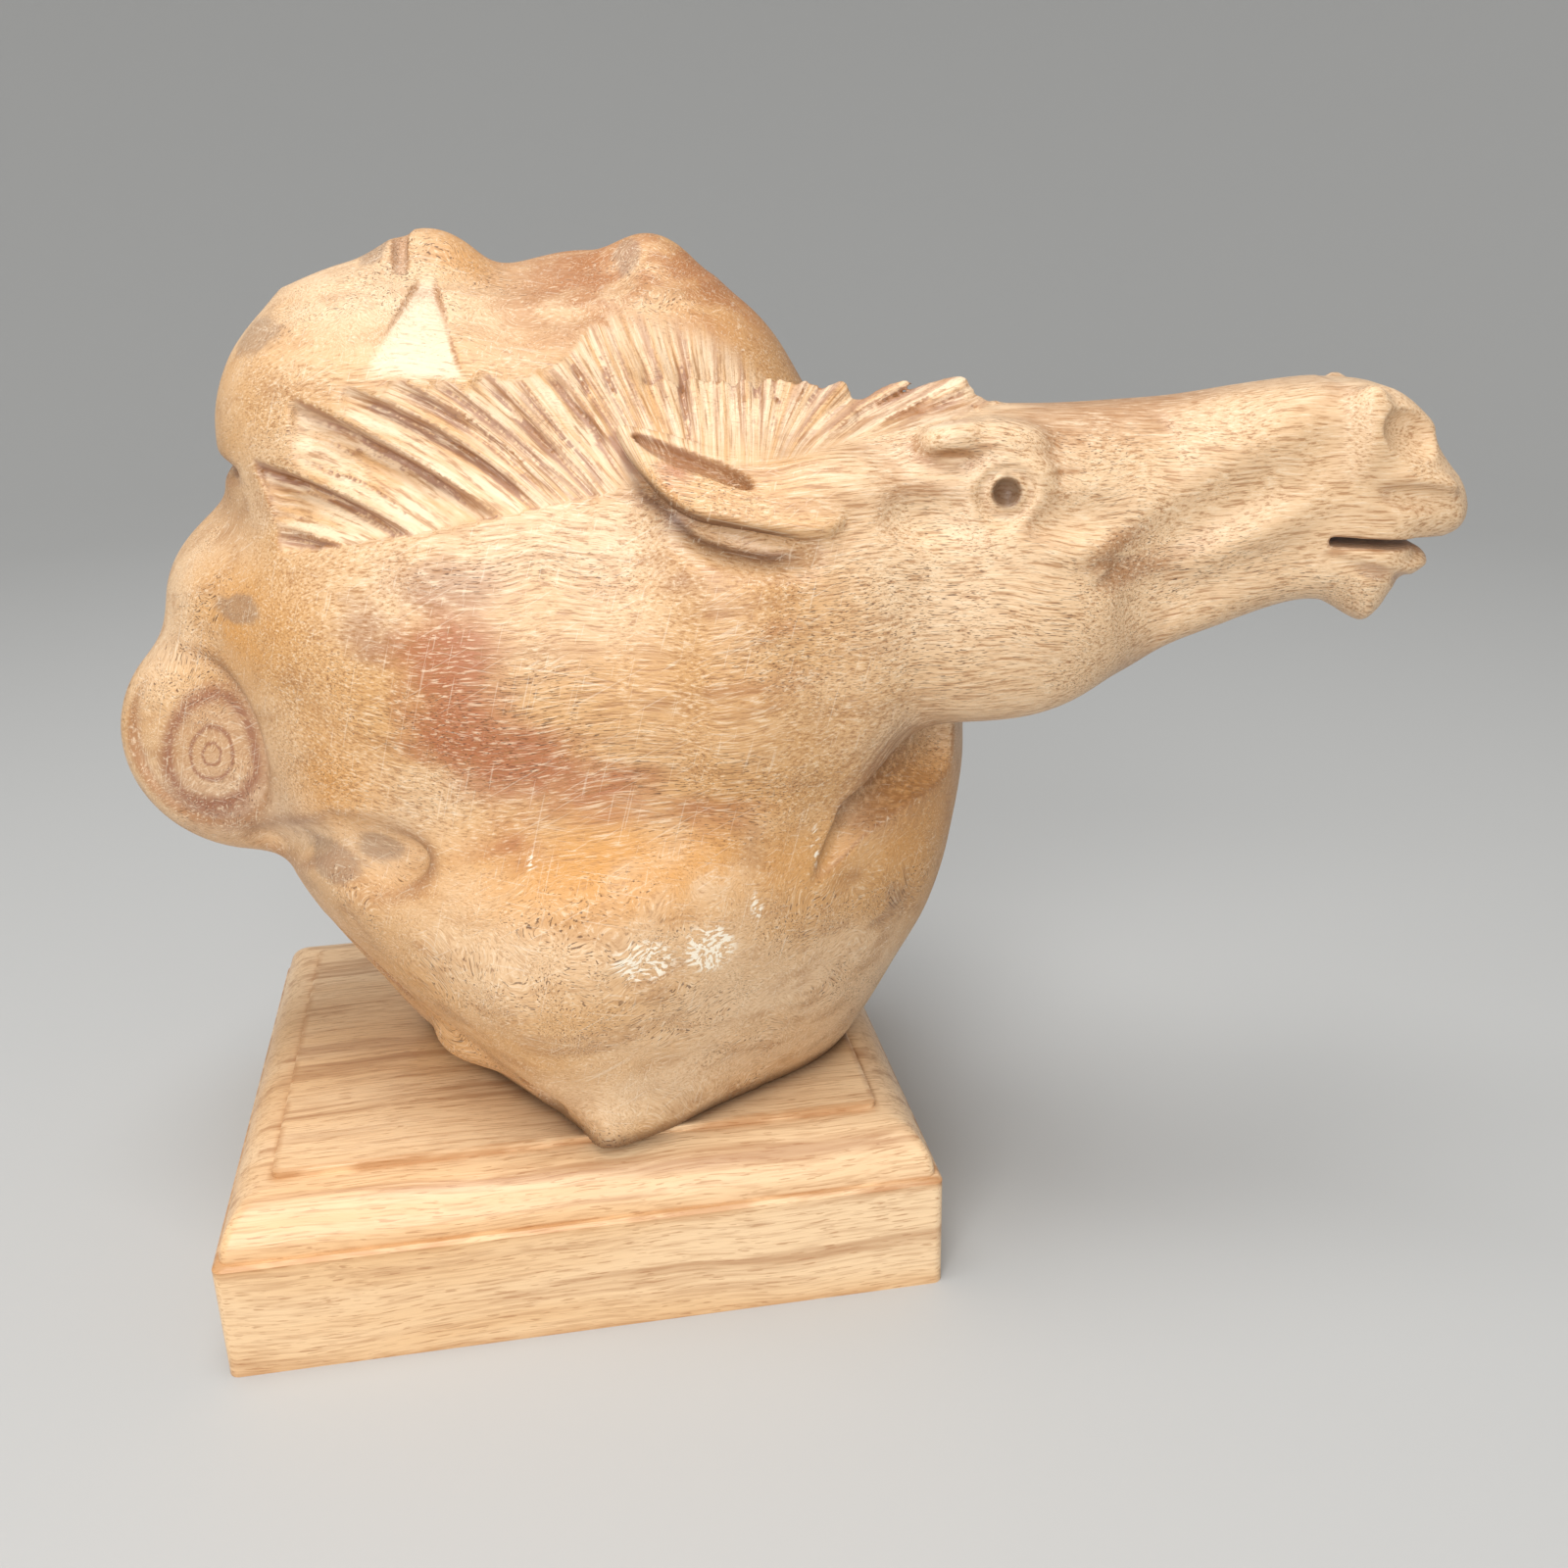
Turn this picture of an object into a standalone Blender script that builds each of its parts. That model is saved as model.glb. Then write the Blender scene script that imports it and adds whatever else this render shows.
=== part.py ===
"""A horse head carved out of a driftwood burl, standing on a moulded wooden plinth.

Everything is in metres, +Z up. The origin is the centre of the plinth's underside.
The carving is designed in millimetres in its own frame: origin on the plinth's top,
+X towards the horse's nose, -Y towards the side that is looked at, +Z up.
"""

import math

import bmesh
import bpy
import numpy as np
import openvdb

MM = 0.001

# Plinth: a solid board with a quarter-round moulding between a shelf and a raised top panel.
PLINTH_LENGTH = 140 * MM
PLINTH_DEPTH = 125 * MM
PLINTH_HEIGHT = 35 * MM
PLINTH_CORNER = 2.0 * MM
MOULDING_DROP = 10.5 * MM
MOULDING_STEP = 1.5 * MM
MOULDING_SHELF = 1.2 * MM
MOULDING_LEDGE = 1.2 * MM
MOULDING_SIDE_INSET = 10.5 * MM
MOULDING_FRONT_INSET = 14.5 * MM
MOULDING_FACETS = 7
EDGE_EASE = 0.6 * MM

# Carving: its real height sets the scale of the whole free form.
CARVING_HEIGHT = 168 * MM
CARVING_TURN = math.radians(-9.5)
SEAT_GAP = 0.3 * MM

DESIGN_HEIGHT = 168.0
DESIGN_LOW = np.array((-96.0, -72.0, -8.0))
DESIGN_HIGH = np.array((182.0, 68.0, 176.0))
CELL = 1.2
BLOCK = 4
TRIANGLES = 9000

HEAD_MIDLINE = -28.0

# Trunk of the burl, from the plinth up: height, left, right, front, back.
TRUNK = (
    (-6, -30, 54, -42, 30),
    (0, -33, 62, -48, 36),
    (8, -37, 67, -54, 42),
    (20, -40, 73, -58, 47),
    (34, -47, 80, -59.5, 51),
    (50, -54, 84.5, -58, 54),
    (66, -58, 87, -54, 56),
    (82, -60, 87, -50, 56),
    (100, -61, 83, -45, 54),
    (118, -56, 72, -39, 50),
    (134, -54, 57, -33, 44),
    (146, -48, 44, -26, 37),
    (154, -38, 32, -12, 26),
)
TRUNK_SQUARENESS = 2.2

# Flats that taper the trunk towards the tip it stands on: outward direction, distance, blend width.
TAPERS = (
    ((-0.600, -0.560, -0.57), 20.6, 8),
    ((0.474, -0.774, -0.41), 45.5, 14),
)

# Neck and head seen from the side: place along the head, top, bottom, half width.
HEAD = (
    (24, 124, 78, 12),
    (40, 133, 62, 26),
    (52, 133.5, 62, 25.5),
    (62, 134.5, 66, 24),
    (74, 136.5, 77.5, 21.5),
    (86, 137.0, 80, 19.5),
    (98, 136.8, 82.5, 17.5),
    (110, 137.2, 86.5, 15.0),
    (124, 138, 94.5, 13.0),
    (138, 139, 100, 11.8),
    (146, 139.6, 102, 11.0),
)

# Crest of the mane, a wedge on top of the neck: place along, top.
CREST = (
    (-4, 132),
    (14, 143.5),
    (42, 143),
    (62, 142),
    (65, 139.2),
    (69, 141.4),
    (82, 142.4),
    (88, 137),
    (96, 130),
)
CREST_MIDDLE = -25.0
CREST_EDGE = 0.9
CREST_SPREAD = 0.8
CREST_FOOT = 9.0

# Grooves of the mane, a fan of lines seen from the side: root along and up, tip along and up,
# bow, depth under the next lock, how far the lock below reaches at its lower edge.
FAN = (
    (-22, 108.5, -40, 110, 0.0, 0.3, 1.0),
    (-20, 112.0, -41, 114.3, 0.4, 0.9, 1.0),
    (-13, 112.5, -41.5, 118, 1.7, 1.8, 1.0),
    (-3, 113.5, -46.5, 130, 2.1, 4.2, 1.0),
    (9, 117, -36.5, 141.3, 1.6, 5.0, 0.76),
    (15, 118.5, -26.5, 143.3, 2.6, 4.6, 0.78),
    (17.5, 119, -17, 144.3, 2.2, 3.4, 0.86),
    (22, 119.5, -8.5, 144, 0.5, 2.4, 0.88),
    (23, 121, -1.5, 145, 0.3, 2.4, 0.9),
    (22.5, 124.5, 4.5, 143.5, -0.5, 3.4, 0.95),
    (25.5, 127, 10.5, 145.5, 0.2, 1.5, 1.0),
    (26.5, 129.5, 13.5, 148, 0.0, 1.4, 1.0),
    (27.5, 131, 16.5, 152, 0.0, 1.4, 1.0),
    (30, 131, 19.5, 151, 0.0, 1.8, 1.0),
    (33.5, 131, 26, 151, 0.0, 1.8, 1.2),
    (36.5, 130.5, 33, 150, 0.0, 2.1, 1.2),
    (40, 130.5, 39, 150, 0.0, 1.4, 1.2),
    (44.5, 130.5, 43.5, 150, 0.0, 2.0, 1.2),
    (47, 130.5, 49, 150, 0.0, 2.4, 1.2),
    (49, 130.5, 60, 150, 0.0, 1.4, 1.2),
    (50.5, 130, 67, 147, 0.0, 2.0, 1.2),
    (53, 130.5, 79, 145, 0.0, 2.2, 1.2),
    (60, 132, 90, 144.5, 0.0, 1.7, 1.2),
    (66, 133.2, 93, 138, 0.0, 1.2, 1.2),
)
LOCK_WALL = 1.9
# The locks from this groove on stand up in the crest.
CREST_FROM = 9

# Outline of the muzzle, lips and chin from the side, from the back of the nose forwards.
MUZZLE = (
    (114, 134.6),
    (128, 137.9),
    (137.8, 139.4),
    (147.6, 140.1),
    (152.7, 139.8),
    (157.2, 138.9),
    (160.2, 137.3),
    (163.2, 134.8),
    (165.4, 132.8),
    (165.8, 130.8),
    (166.9, 128.4),
    (169.3, 125.4),
    (172.4, 122.4),
    (174.1, 118.8),
    (174.3, 116.0),
    (173.0, 113.4),
    (170.4, 112.2),
    (166.5, 111.6),
    (163.0, 111.3),
    (166.2, 110.3),
    (167.6, 107.7),
    (165.0, 105.8),
    (162.1, 104.4),
    (160.4, 102.6),
    (159.4, 100.3),
    (157.4, 98.0),
    (155.7, 97.0),
    (153.0, 98.4),
    (150.4, 100.1),
    (147.7, 101.5),
    (144.5, 101.7),
    (141.0, 101.2),
    (135.0, 99.3),
    (128.0, 96.6),
    (114, 92.5),
)
MUZZLE_WIDTHS = ((114, 12.2), (128, 12.4), (150, 12.4), (160, 12.2), (168, 11.0), (175, 8.5))
MUZZLE_ROUNDING = 8.5

# Corners of the bright chisel face under the top knob, seen from the side.
FACET = ((-13.0, 162.0), (-22.5, 144.5), (-5.2, 143.6))

# Outline of the tip the burl stands on, seen from above, and its height.
PROW = (
    (0, -22),
    (3.0, -31),
    (5.0, -38),
    (8.0, -46.5),
    (11.0, -51.6),
    (14.0, -53.2),
    (20.0, -52.0),
    (28.0, -46.8),
    (36.0, -38),
    (44.0, -30),
    (36.0, -16),
)
PROW_HEIGHT = 24.0

# Outline of the ear in the plane it lies in, from its tip along the lower rim and back.
EAR = (
    (0.0, -0.6),
    (2.5, -2.6),
    (6.0, -4.8),
    (12.0, -7.8),
    (17.7, -9.6),
    (22.7, -9.6),
    (27.8, -7.8),
    (32.0, -6.2),
    (36.0, -4.6),
    (40.0, -2.8),
    (44.0, 0.5),
    (43.0, 6.0),
    (36.0, 9.0),
    (31.4, 8.8),
    (27.1, 8.0),
    (22.3, 6.4),
    (17.6, 4.9),
    (13.3, 4.2),
    (7.3, 2.6),
    (2.5, 0.6),
)
EAR_HOLLOW = (
    (3.0, -1.2),
    (8.0, -3.0),
    (13.0, -3.6),
    (18.0, -2.6),
    (23.0, -2.0),
    (28.8, -1.0),
    (25.0, 1.3),
    (20.0, 1.7),
    (15.0, 1.0),
    (9.0, 0.2),
)
EAR_TIP = (22.0, -36.5, 137.2)
EAR_ALONG = (0.853, -0.356, -0.382)
EAR_ACROSS = (0.508, 0.737, 0.446)
EAR_OUTWARD = (0.122, -0.574, 0.809)
EAR_THICKNESS = 3.4


def ball(points, centre, radii, axis=None):
    """Distance to an ellipsoid, close enough near its surface; its first radius can lie along an axis."""
    away = points - np.array(centre, float)
    if axis is not None:
        first = np.array(axis, float) / np.linalg.norm(axis)
        side = np.cross((0, 0, 1), first)
        side = side / np.linalg.norm(side)
        away = away @ np.stack((first, side, np.cross(first, side)), axis=-1)
    away = away / np.array(radii, float)
    reach = np.linalg.norm(away, axis=-1) + 1e-9
    slope = np.linalg.norm(away / np.array(radii, float), axis=-1) + 1e-9
    return reach * (reach - 1) / slope


def rod(points, start, end, radius, end_radius):
    """Distance to a round rod that tapers from one radius to the other."""
    start, end = np.array(start, float), np.array(end, float)
    run = end - start
    share = np.clip((points - start) @ run / (run @ run), 0, 1)
    thick = radius + (end_radius - radius) * share
    return np.linalg.norm(points - start - share[..., None] * run, axis=-1) - thick


def slab(points, low, high):
    """Distance to a box with its sides along the axes."""
    middle = (np.array(low, float) + np.array(high, float)) / 2
    half = (np.array(high, float) - np.array(low, float)) / 2
    away = np.abs(points - middle) - half
    return np.linalg.norm(np.maximum(away, 0), axis=-1) + np.minimum(away.max(axis=-1), 0)


def flat(points, spot, outward, radius):
    """Distance to the wood that a flat chisel face takes off round a spot."""
    outward = np.array(outward, float) / np.linalg.norm(outward)
    away = points - np.array(spot, float)
    above = away @ outward
    beside = np.linalg.norm(away - above[..., None] * outward, axis=-1)
    return np.maximum(-above, beside - radius)


def facet(points, low, high, spot, outward):
    """Distance to the wood that the three-cornered chisel face takes off."""
    side = outline_distance(points[..., 0], points[..., 2], FACET)
    return np.maximum(-(points - np.array(spot)) @ np.array(outward), side)


def rounded_corners(outline, times=2):
    """The outline with its corners cut off a few times."""
    points = np.array(outline, float)
    for _ in range(times):
        following = np.roll(points, -1, axis=0)
        pairs = np.stack((0.75 * points + 0.25 * following, 0.25 * points + 0.75 * following), axis=1)
        points = pairs.reshape(-1, 2)
    return points


def outline_distance(along, up, outline):
    """Distance to a closed outline, less than nothing inside it."""
    nearest = np.full(along.shape, 1e9)
    inside = np.zeros(along.shape, bool)
    for (ax, az), (bx, bz) in zip(outline, np.roll(outline, -1, axis=0)):
        run, rise = bx - ax, bz - az
        dx, dz = along - ax, up - az
        share = np.clip((dx * run + dz * rise) / (run * run + rise * rise), 0, 1)
        nearest = np.minimum(nearest, (dx - share * run) ** 2 + (dz - share * rise) ** 2)
        spans = (az <= up) != (bz <= up)
        inside ^= spans & (along < ax + (up - az) * run / (rise or 1e-9))
    return np.sqrt(nearest) * np.where(inside, -1, 1)


def thickened(side, beside, rounding):
    """Distance to an outline that is given a thickness and rounded edges."""
    edge, face = side + rounding, beside + rounding
    outside = np.hypot(np.maximum(edge, 0), np.maximum(face, 0))
    return outside + np.minimum(np.maximum(edge, face), 0) - rounding


def muzzle(points, low, high):
    """Distance to the muzzle, lips and chin, rounded out from their outline."""
    x, y, z = points[..., 0], points[..., 1], points[..., 2]
    half = smooth_row(x, MUZZLE_WIDTHS, 1)
    side = outline_distance(x, z, rounded_corners(MUZZLE, 1))
    return thickened(side, np.abs(y - HEAD_MIDLINE) - half, MUZZLE_ROUNDING)


def prow(points, low, high):
    """Distance to the tip that the burl stands on, flared towards its top."""
    x, y, z = points[..., 0], points[..., 1], points[..., 2]
    side = outline_distance(x, y, rounded_corners(PROW, 1)) + 0.22 * np.maximum(z - 7, 0)
    under = 0.55 * np.maximum(3.5 - z, 0) * step_up(x, 12, 22)
    return thickened(side + under, np.abs(z - PROW_HEIGHT / 2 + 2) - PROW_HEIGHT / 2 - 2, 1.2)


def kerf(points, low, high, start, end, half):
    """Distance to a straight saw cut through the head, seen from the side."""
    start, end = np.array(start, float), np.array(end, float)
    away = points[..., [0, 2]] - start
    run = end - start
    share = np.clip(away @ run / (run @ run), 0, 1)
    return np.linalg.norm(away - share[..., None] * run, axis=-1) - half


def ear_frame(points):
    """Places along the ear, across it and out of its plane."""
    away = points - np.array(EAR_TIP)
    return away @ np.array(EAR_ALONG), away @ np.array(EAR_ACROSS), away @ np.array(EAR_OUTWARD)


def ear(points, low, high):
    """Distance to the leaf of the ear, curved a little over its width."""
    along, across, outward = ear_frame(points)
    side = outline_distance(along, across, rounded_corners(EAR, 1))
    bulge = 0.012 * (across + 1.5) ** 2
    beside = np.abs(outward + bulge + EAR_THICKNESS / 2) - EAR_THICKNESS / 2
    return thickened(side, beside, 1.1)


def ear_hollow(points, low, high):
    """Distance to the hollow of the ear, steep under its upper rim."""
    along, across, outward = ear_frame(points)
    side = outline_distance(along, across, rounded_corners(EAR_HOLLOW, 1))
    floor = -3.1 + 0.55 * np.clip(1.2 - across, 0, 6)
    return join_edges(side * 0.8, floor - outward, 0.8)


def bounds_of(shape, sizes):
    """Corners of the box that a shape stays in."""
    if shape is ball:
        reach = max(sizes[1])
        return np.array(sizes[0], float) - reach, np.array(sizes[0], float) + reach
    if shape is rod:
        reach = max(sizes[2:4])
        ends = np.array(sizes[0:2], float)
        return ends.min(axis=0) - reach, ends.max(axis=0) + reach
    if shape is flat:
        return np.array(sizes[0], float) - sizes[2], np.array(sizes[0], float) + sizes[2]
    return np.array(sizes[0], float), np.array(sizes[1], float)


def join(one, other, width):
    """The nearer of two distances, with a fillet of that width."""
    share = np.clip(0.5 + 0.5 * (other - one) / width, 0, 1)
    return other * (1 - share) + one * share - width * share * (1 - share)


def join_edges(one, other, width):
    """The further of two distances, with a rounded corner of that width."""
    return -join(-one, -other, width)


def cut(body, tool, width):
    """What is left of a body when a tool is taken out of it, with a rounded rim of that width."""
    return -join(-body, tool, width)


def worked(points, field, steps):
    """The field after steps of carving, each one worked out only near its own shape."""
    flat_points = points.reshape(-1, 3)
    result = field.reshape(-1).copy()
    for action, width, shape, *sizes in steps:
        low, high = bounds_of(shape, sizes)
        room = width + 6
        near = np.flatnonzero(((flat_points > low - room) & (flat_points < high + room)).all(axis=1))
        if len(near):
            result[near] = action(result[near], shape(flat_points[near], *sizes), width)
    return result.reshape(field.shape)


def step_up(at, low, high):
    """Smooth rise from 0 to 1 between two values."""
    share = np.clip((at - low) / (high - low), 0, 1)
    return share * share * (3 - 2 * share)


def smooth_row(at, rows, column):
    """Monotone cubic through one column of a table of stations, read at some places."""
    xs = np.array([row[0] for row in rows], float)
    ys = np.array([row[column] for row in rows], float)
    step = np.diff(xs)
    rise = np.diff(ys) / step
    slope = np.zeros(len(xs))
    slope[0], slope[-1] = rise[0], rise[-1]
    same = rise[:-1] * rise[1:] > 0
    mean = 2 * rise[:-1] * rise[1:] / np.where(same, rise[:-1] + rise[1:], 1)
    slope[1:-1] = np.where(same, mean, 0)
    at = np.clip(at, xs[0], xs[-1])
    i = np.clip(np.searchsorted(xs, at) - 1, 0, len(step) - 1)
    t = (at - xs[i]) / step[i]
    low = (2 * t**3 - 3 * t**2 + 1) * ys[i] + (t**3 - 2 * t**2 + t) * step[i] * slope[i]
    high = (3 * t**2 - 2 * t**3) * ys[i + 1] + (t**3 - t**2) * step[i] * slope[i + 1]
    return low + high


def loft(points, rows, middle, power=2.4):
    """Distance to a body with a top and a bottom line and rounded sections, from the side."""
    x, y, z = points[..., 0], points[..., 1], points[..., 2]
    top, bottom, half = (smooth_row(x, rows, c) for c in (1, 2, 3))
    height = (top - bottom) / 2
    across = np.abs(y - middle) / half
    up = np.abs(z - (top + bottom) / 2) / height
    reach = (across**power + up**power) ** (1 / power)
    body = (reach - 1) * np.minimum(half, height)
    ends = np.maximum(rows[0][0] - x, x - rows[-1][0])
    return np.maximum(body, ends)


def trunk_field(points):
    """Distance to the trunk of the burl, tapered towards its foot."""
    x, y, z = points[..., 0], points[..., 1], points[..., 2]
    left, right, front, back = (smooth_row(z, TRUNK, c) for c in (1, 2, 3, 4))
    power = TRUNK_SQUARENESS
    across = np.abs(2 * x - left - right) / (right - left)
    deep = np.abs(2 * y - front - back) / (back - front)
    reach = (across**power + deep**power) ** (1 / power)
    body = (reach - 1) * np.minimum(right - left, back - front) / 2
    body = np.maximum(body, z - TRUNK[-1][0])
    for outward, distance, width in TAPERS:
        body = cut(body, distance - points @ np.array(outward), width)
    return body


# Knobs and lobes on the trunk, the neck's root and the tip it stands on. Each step gives what is
# done, the width of the fillet, the shape and its sizes in design millimetres.
BURL_WORK = (
    (join, 9, ball, (-21, 3, 132), (37, 34, 31.5)),
    (join, 5, ball, (-16, 3, 154.5), (12, 12, 13.5)),
    (join, 8, ball, (12, 14, 140), (24, 26, 23)),
    (join, 5, ball, (25, 10, 155), (10, 10, 11)),
    (join, 8, ball, (28, 9, 136), (24, 25, 22)),
    (join, 8, ball, (-46, 5, 97), (29, 30, 23)),
    (join, 7, ball, (-58, -6, 72), (27, 22, 25)),
    (join, 10, ball, (34, 38, 108), (30, 24, 26)),
    (join, 10, ball, (-22, 40, 84), (28, 22, 30)),
    (join, 9, ball, (44, 40, 58), (28, 24, 26)),
    (join, 9, ball, (2, 44, 34), (24, 16, 20)),
    (join, 16, ball, (2, -17, 92), (50, 34, 40)),
    (join, 10, ball, (40, -22, 92), (34, 32, 40)),
    (join, 4, prow, (-2, -58, -4), (46, -14, 20)),
    (join, 6, ball, (-13, -30, 14), (9, 6, 6)),
    (cut, 3, ball, (-40, -31, 31), (5, 7, 4)),
    (cut, 2, ball, (0, -42.5, 6), (5, 6, 6)),
    # Face of the cut branch, and the crease and hollow under it.
    (cut, 4.5, flat, (-64, -23.8, 75.5), (-0.34, -0.93, 0.04), 15),
    (cut, 4, rod, (-54, -24, 53), (-34, -44.5, 63.5), 3.4, 2.2),
    (cut, 4, rod, (-34, -44.5, 63.5), (-20, -53, 67.5), 2.2, 0.6),
    (cut, 6, ball, (-29, -48, 59.5), (13, 5, 5), (1, 0, 0.1)),
    # Notch between the lobes, crease of the top knob and the bright chisel flat.
    (cut, 2.5, ball, (-58, -14, 126), (7, 16, 1.6)),
    (cut, 1.5, rod, (-21, 8, 170), (-18.4, -10.5, 161.2), 1.6, 0.8),
    (cut, 1.0, facet, (-24, -32, 141), (-3, -8, 164), (-12.5, -23.3, 150.4), (0.14, -0.655, 0.742)),
    (cut, 5, ball, (45, -57, 71), (13, 3.4, 4.5), (1, 0, 0.15)),
    # Small dents of the belly and the right lobe.
    (cut, 4, ball, (27, -62.9, 41), (10, 4.2, 3), (1, 0, 0.2)),
    (cut, 5, ball, (-30, -26, 30), (5, 5, 12), (0.5, 0, 1)),
)


# What is the same on both sides of the head.
HEAD_WORK = (
    # Muzzle, lips and chin.
    (join, 2, muzzle, (112, -44, 90), (177, -12, 142)),
    (cut, 0.5, kerf, (144, -60, 108), (176, 0, 118), (147.2, 113.4), (168, 111.6), 0.85),
    (cut, 0.8, rod, (146.5, -41.5, 110.6), (159.5, -39.8, 106.4), 0.9, 1.3),
    (cut, 1.0, rod, (159.5, -39.8, 106.4), (163.5, -33, 104), 1.3, 1.3),
    (cut, 3, ball, (141.5, -43.5, 109.5), (5.5, 3.4, 5), (1, 0, -0.7)),
    (cut, 1, flat, (161, -41.2, 118), (0.38, -0.92, -0.1), 10),
    # Nostril, its rim and the dent behind it.
    (join, 2.5, ball, (152, -38, 132), (4, 3.4, 8)),
    (join, 2, ball, (160, -37.6, 123.6), (9, 3, 2.4), (1, 0, -0.2)),
    (cut, 3.5, ball, (144.5, -43.8, 131), (4.6, 3.2, 7.5)),
    (cut, 0.4, ball, (162.5, -42.5, 131.8), (9.6, 7.4, 5.4), (1, 0, -0.25)),
    (cut, 0.4, ball, (158.5, -39.5, 137.6), (4.4, 3.0, 2.0), (1, 0, -0.35)),
    (cut, 2, ball, (164, -40.8, 120.4), (9, 2.4, 1.8), (1, 0, -0.15)),
    # Cheek, its hollow in front, and the ridge under the eye.
    (join, 6, ball, (90, -38, 100), (21, 11.5, 17)),
    (cut, 5, ball, (120, -45.5, 105), (9, 5, 8), (1, 0, 0.4)),
    (cut, 4, ball, (131, -44.6, 108.5), (12, 3, 4.5), (1, 0, 0.5)),
    (join, 4, ball, (97, -42, 114.5), (16, 4, 3), (1, 0, -0.12)),
    (cut, 4, ball, (103, -46.5, 120), (9, 3, 2.8), (1, 0, 0.1)),
    # Flat planes of the nose, between shallow grooves.
    (join, 5, ball, (124, -36.0, 126.5), (18, 4, 2.6), (1, 0, 0.5)),
    (cut, 5, ball, (123, -44.6, 117.5), (15, 3, 2.4), (1, 0, 0.42)),
    (join, 4, ball, (132, -38.0, 115), (12, 3.2, 2.2), (1, 0, 0.48)),
    # Brow and temple.
    (join, 4, ball, (87, -40.2, 132.4), (8, 4, 3.2), (1, 0, -0.1)),
    (cut, 2, ball, (99.5, -46.4, 127.0), (5, 3.0, 0.9), (1, 0, 0.3)),
    (join, 3, ball, (79, -41.8, 133.4), (4.6, 3.6, 2.8), (1, 0, 0.2)),
    (cut, 1.0, ball, (79.4, -47.2, 130.4), (5, 3.6, 1.6), (1, 0, -0.1)),
    (cut, 4, ball, (76, -50, 121), (4.2, 5, 8), (0.2, 0, 1)),
    # Eye: socket, lids, disc and pupil.
    (cut, 2.5, ball, (88.5, -50.2, 124.4), (10, 4.6, 7), (1, 0, 0.35)),
    (join, 1.6, ball, (88.8, -42.6, 124.5), (8.6, 3.6, 6.6), (1, 0, 0.3)),
    (join, 1.4, ball, (84.2, -43.4, 121.4), (4.2, 2.4, 2.2), (1, 0, 1)),
    (cut, 0.3, ball, (88.6, -47.8, 124.4), (6.6, 4.3, 6.4)),
    (join, 0.3, ball, (88.6, -42.4, 124.4), (5.4, 3.2, 5.3)),
    (cut, 0.3, ball, (88.6, -46.4, 124.5), (2.7, 3.2, 2.7)),
    # Slit under the jaw.
    (cut, 0.4, rod, (82, -42.6, 85.6), (86.5, -41.6, 86.4), 0.3, 0.7),
)

# The near ear, laid back along the neck; the far one lies within the burl.
EAR_WORK = (
    (cut, 3, ball, (41, -52.5, 119.0), (15, 7, 4.8), (1, 0, -0.3)),
    (cut, 3, ball, (27, -43, 131), (6, 5, 7), (0.3, 0, 1)),
    (join, 0.7, ear, (18, -60, 112), (66, -26, 142)),
    (join, 6, ball, (56, -43.6, 124.5), (10, 4, 5), (1, 0, 0.15)),
    (cut, 0.4, ear_hollow, (20, -62, 118), (56, -30, 146)),
)


def both_sides(points):
    """Points folded over the head's midline, so that what is on one side is on the other."""
    folded = points.copy()
    folded[..., 1] = HEAD_MIDLINE - np.abs(points[..., 1] - HEAD_MIDLINE)
    return folded


def fan_place(x, z):
    """Where a point lies in the mane's fan: the groove's number, and the share of the way to its tip."""
    fan = np.array(FAN, float)
    run = fan[:, 2:4] - fan[:, 0:2]
    length = np.linalg.norm(run, axis=1)
    along = run / length[:, None]
    dx, dz = x[..., None] - fan[:, 0], z[..., None] - fan[:, 1]
    share = (dx * along[:, 0] + dz * along[:, 1]) / length
    beside = dx * along[:, 1] - dz * along[:, 0] - fan[:, 4] * np.clip(4 * share * (1 - share), 0, 1)
    last = len(fan) - 1
    number = np.clip((beside > 0).sum(axis=-1) - 1, 0, last - 1)
    here = np.take_along_axis(beside, number[..., None], -1)[..., 0]
    there = np.take_along_axis(beside, number[..., None] + 1, -1)[..., 0]
    part = np.clip(here / np.maximum(here - there, 1e-6), 0, 1)
    near = np.take_along_axis(share, number[..., None], -1)[..., 0]
    far = np.take_along_axis(share, number[..., None] + 1, -1)[..., 0]
    inside = (beside[..., 0] > 0) & (beside[..., last] < 0)
    return number, part, near + (far - near) * part, here - there, inside


def mane_place(x, z):
    """How far inside the mane's outline a place is, and where it lies in its lock."""
    number, part, share, width, inside = fan_place(x, z)
    fan = np.array(FAN, float)
    short = fan[number + 1, 6]
    reach = short + (np.clip(short, 1, 1.2) - short) * part**0.8
    within = (reach - share) * inside
    return number, part, share, width, within


def mane_depth(x, z):
    """How far the mane is cut into the wood at a place seen from the side."""
    number, part, share, width, within = mane_place(x, z)
    fan = np.array(FAN, float)
    deep = np.minimum(fan[number + 1, 5], 0.5 * width)
    low = 0.1 + 0.2 * (number > CREST_FROM)
    wall = np.clip(1 - LOCK_WALL / np.maximum(width, 1), 0.45, 0.78)
    rising = np.clip(part / wall, 0, 1) ** 1.3
    falling = step_up(1 - part, 0, 1 - wall)
    lock = deep * (low + (1 - low) * np.minimum(rising, falling))
    rooted = step_up(share, -0.08, 0.45)
    edge = 0.3 * step_up(within, 0, 0.03) + 0.7 * step_up(within, 0, 0.2)
    return lock * rooted * edge * np.where(number == 0, part, 1)


def with_mane(points, field):
    """The field with the mane cut into its near side."""
    x, y, z = points[..., 0], points[..., 1], points[..., 2]
    near = (x > -50) & (x < 94) & (z > 104) & (z < 152) & (y < -10) & (np.abs(field) < 12)
    depth = np.zeros(field.shape)
    depth[near] = mane_depth(x[near], z[near]) * (1 - step_up(y[near], -20, -12))
    return field + depth


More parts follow.
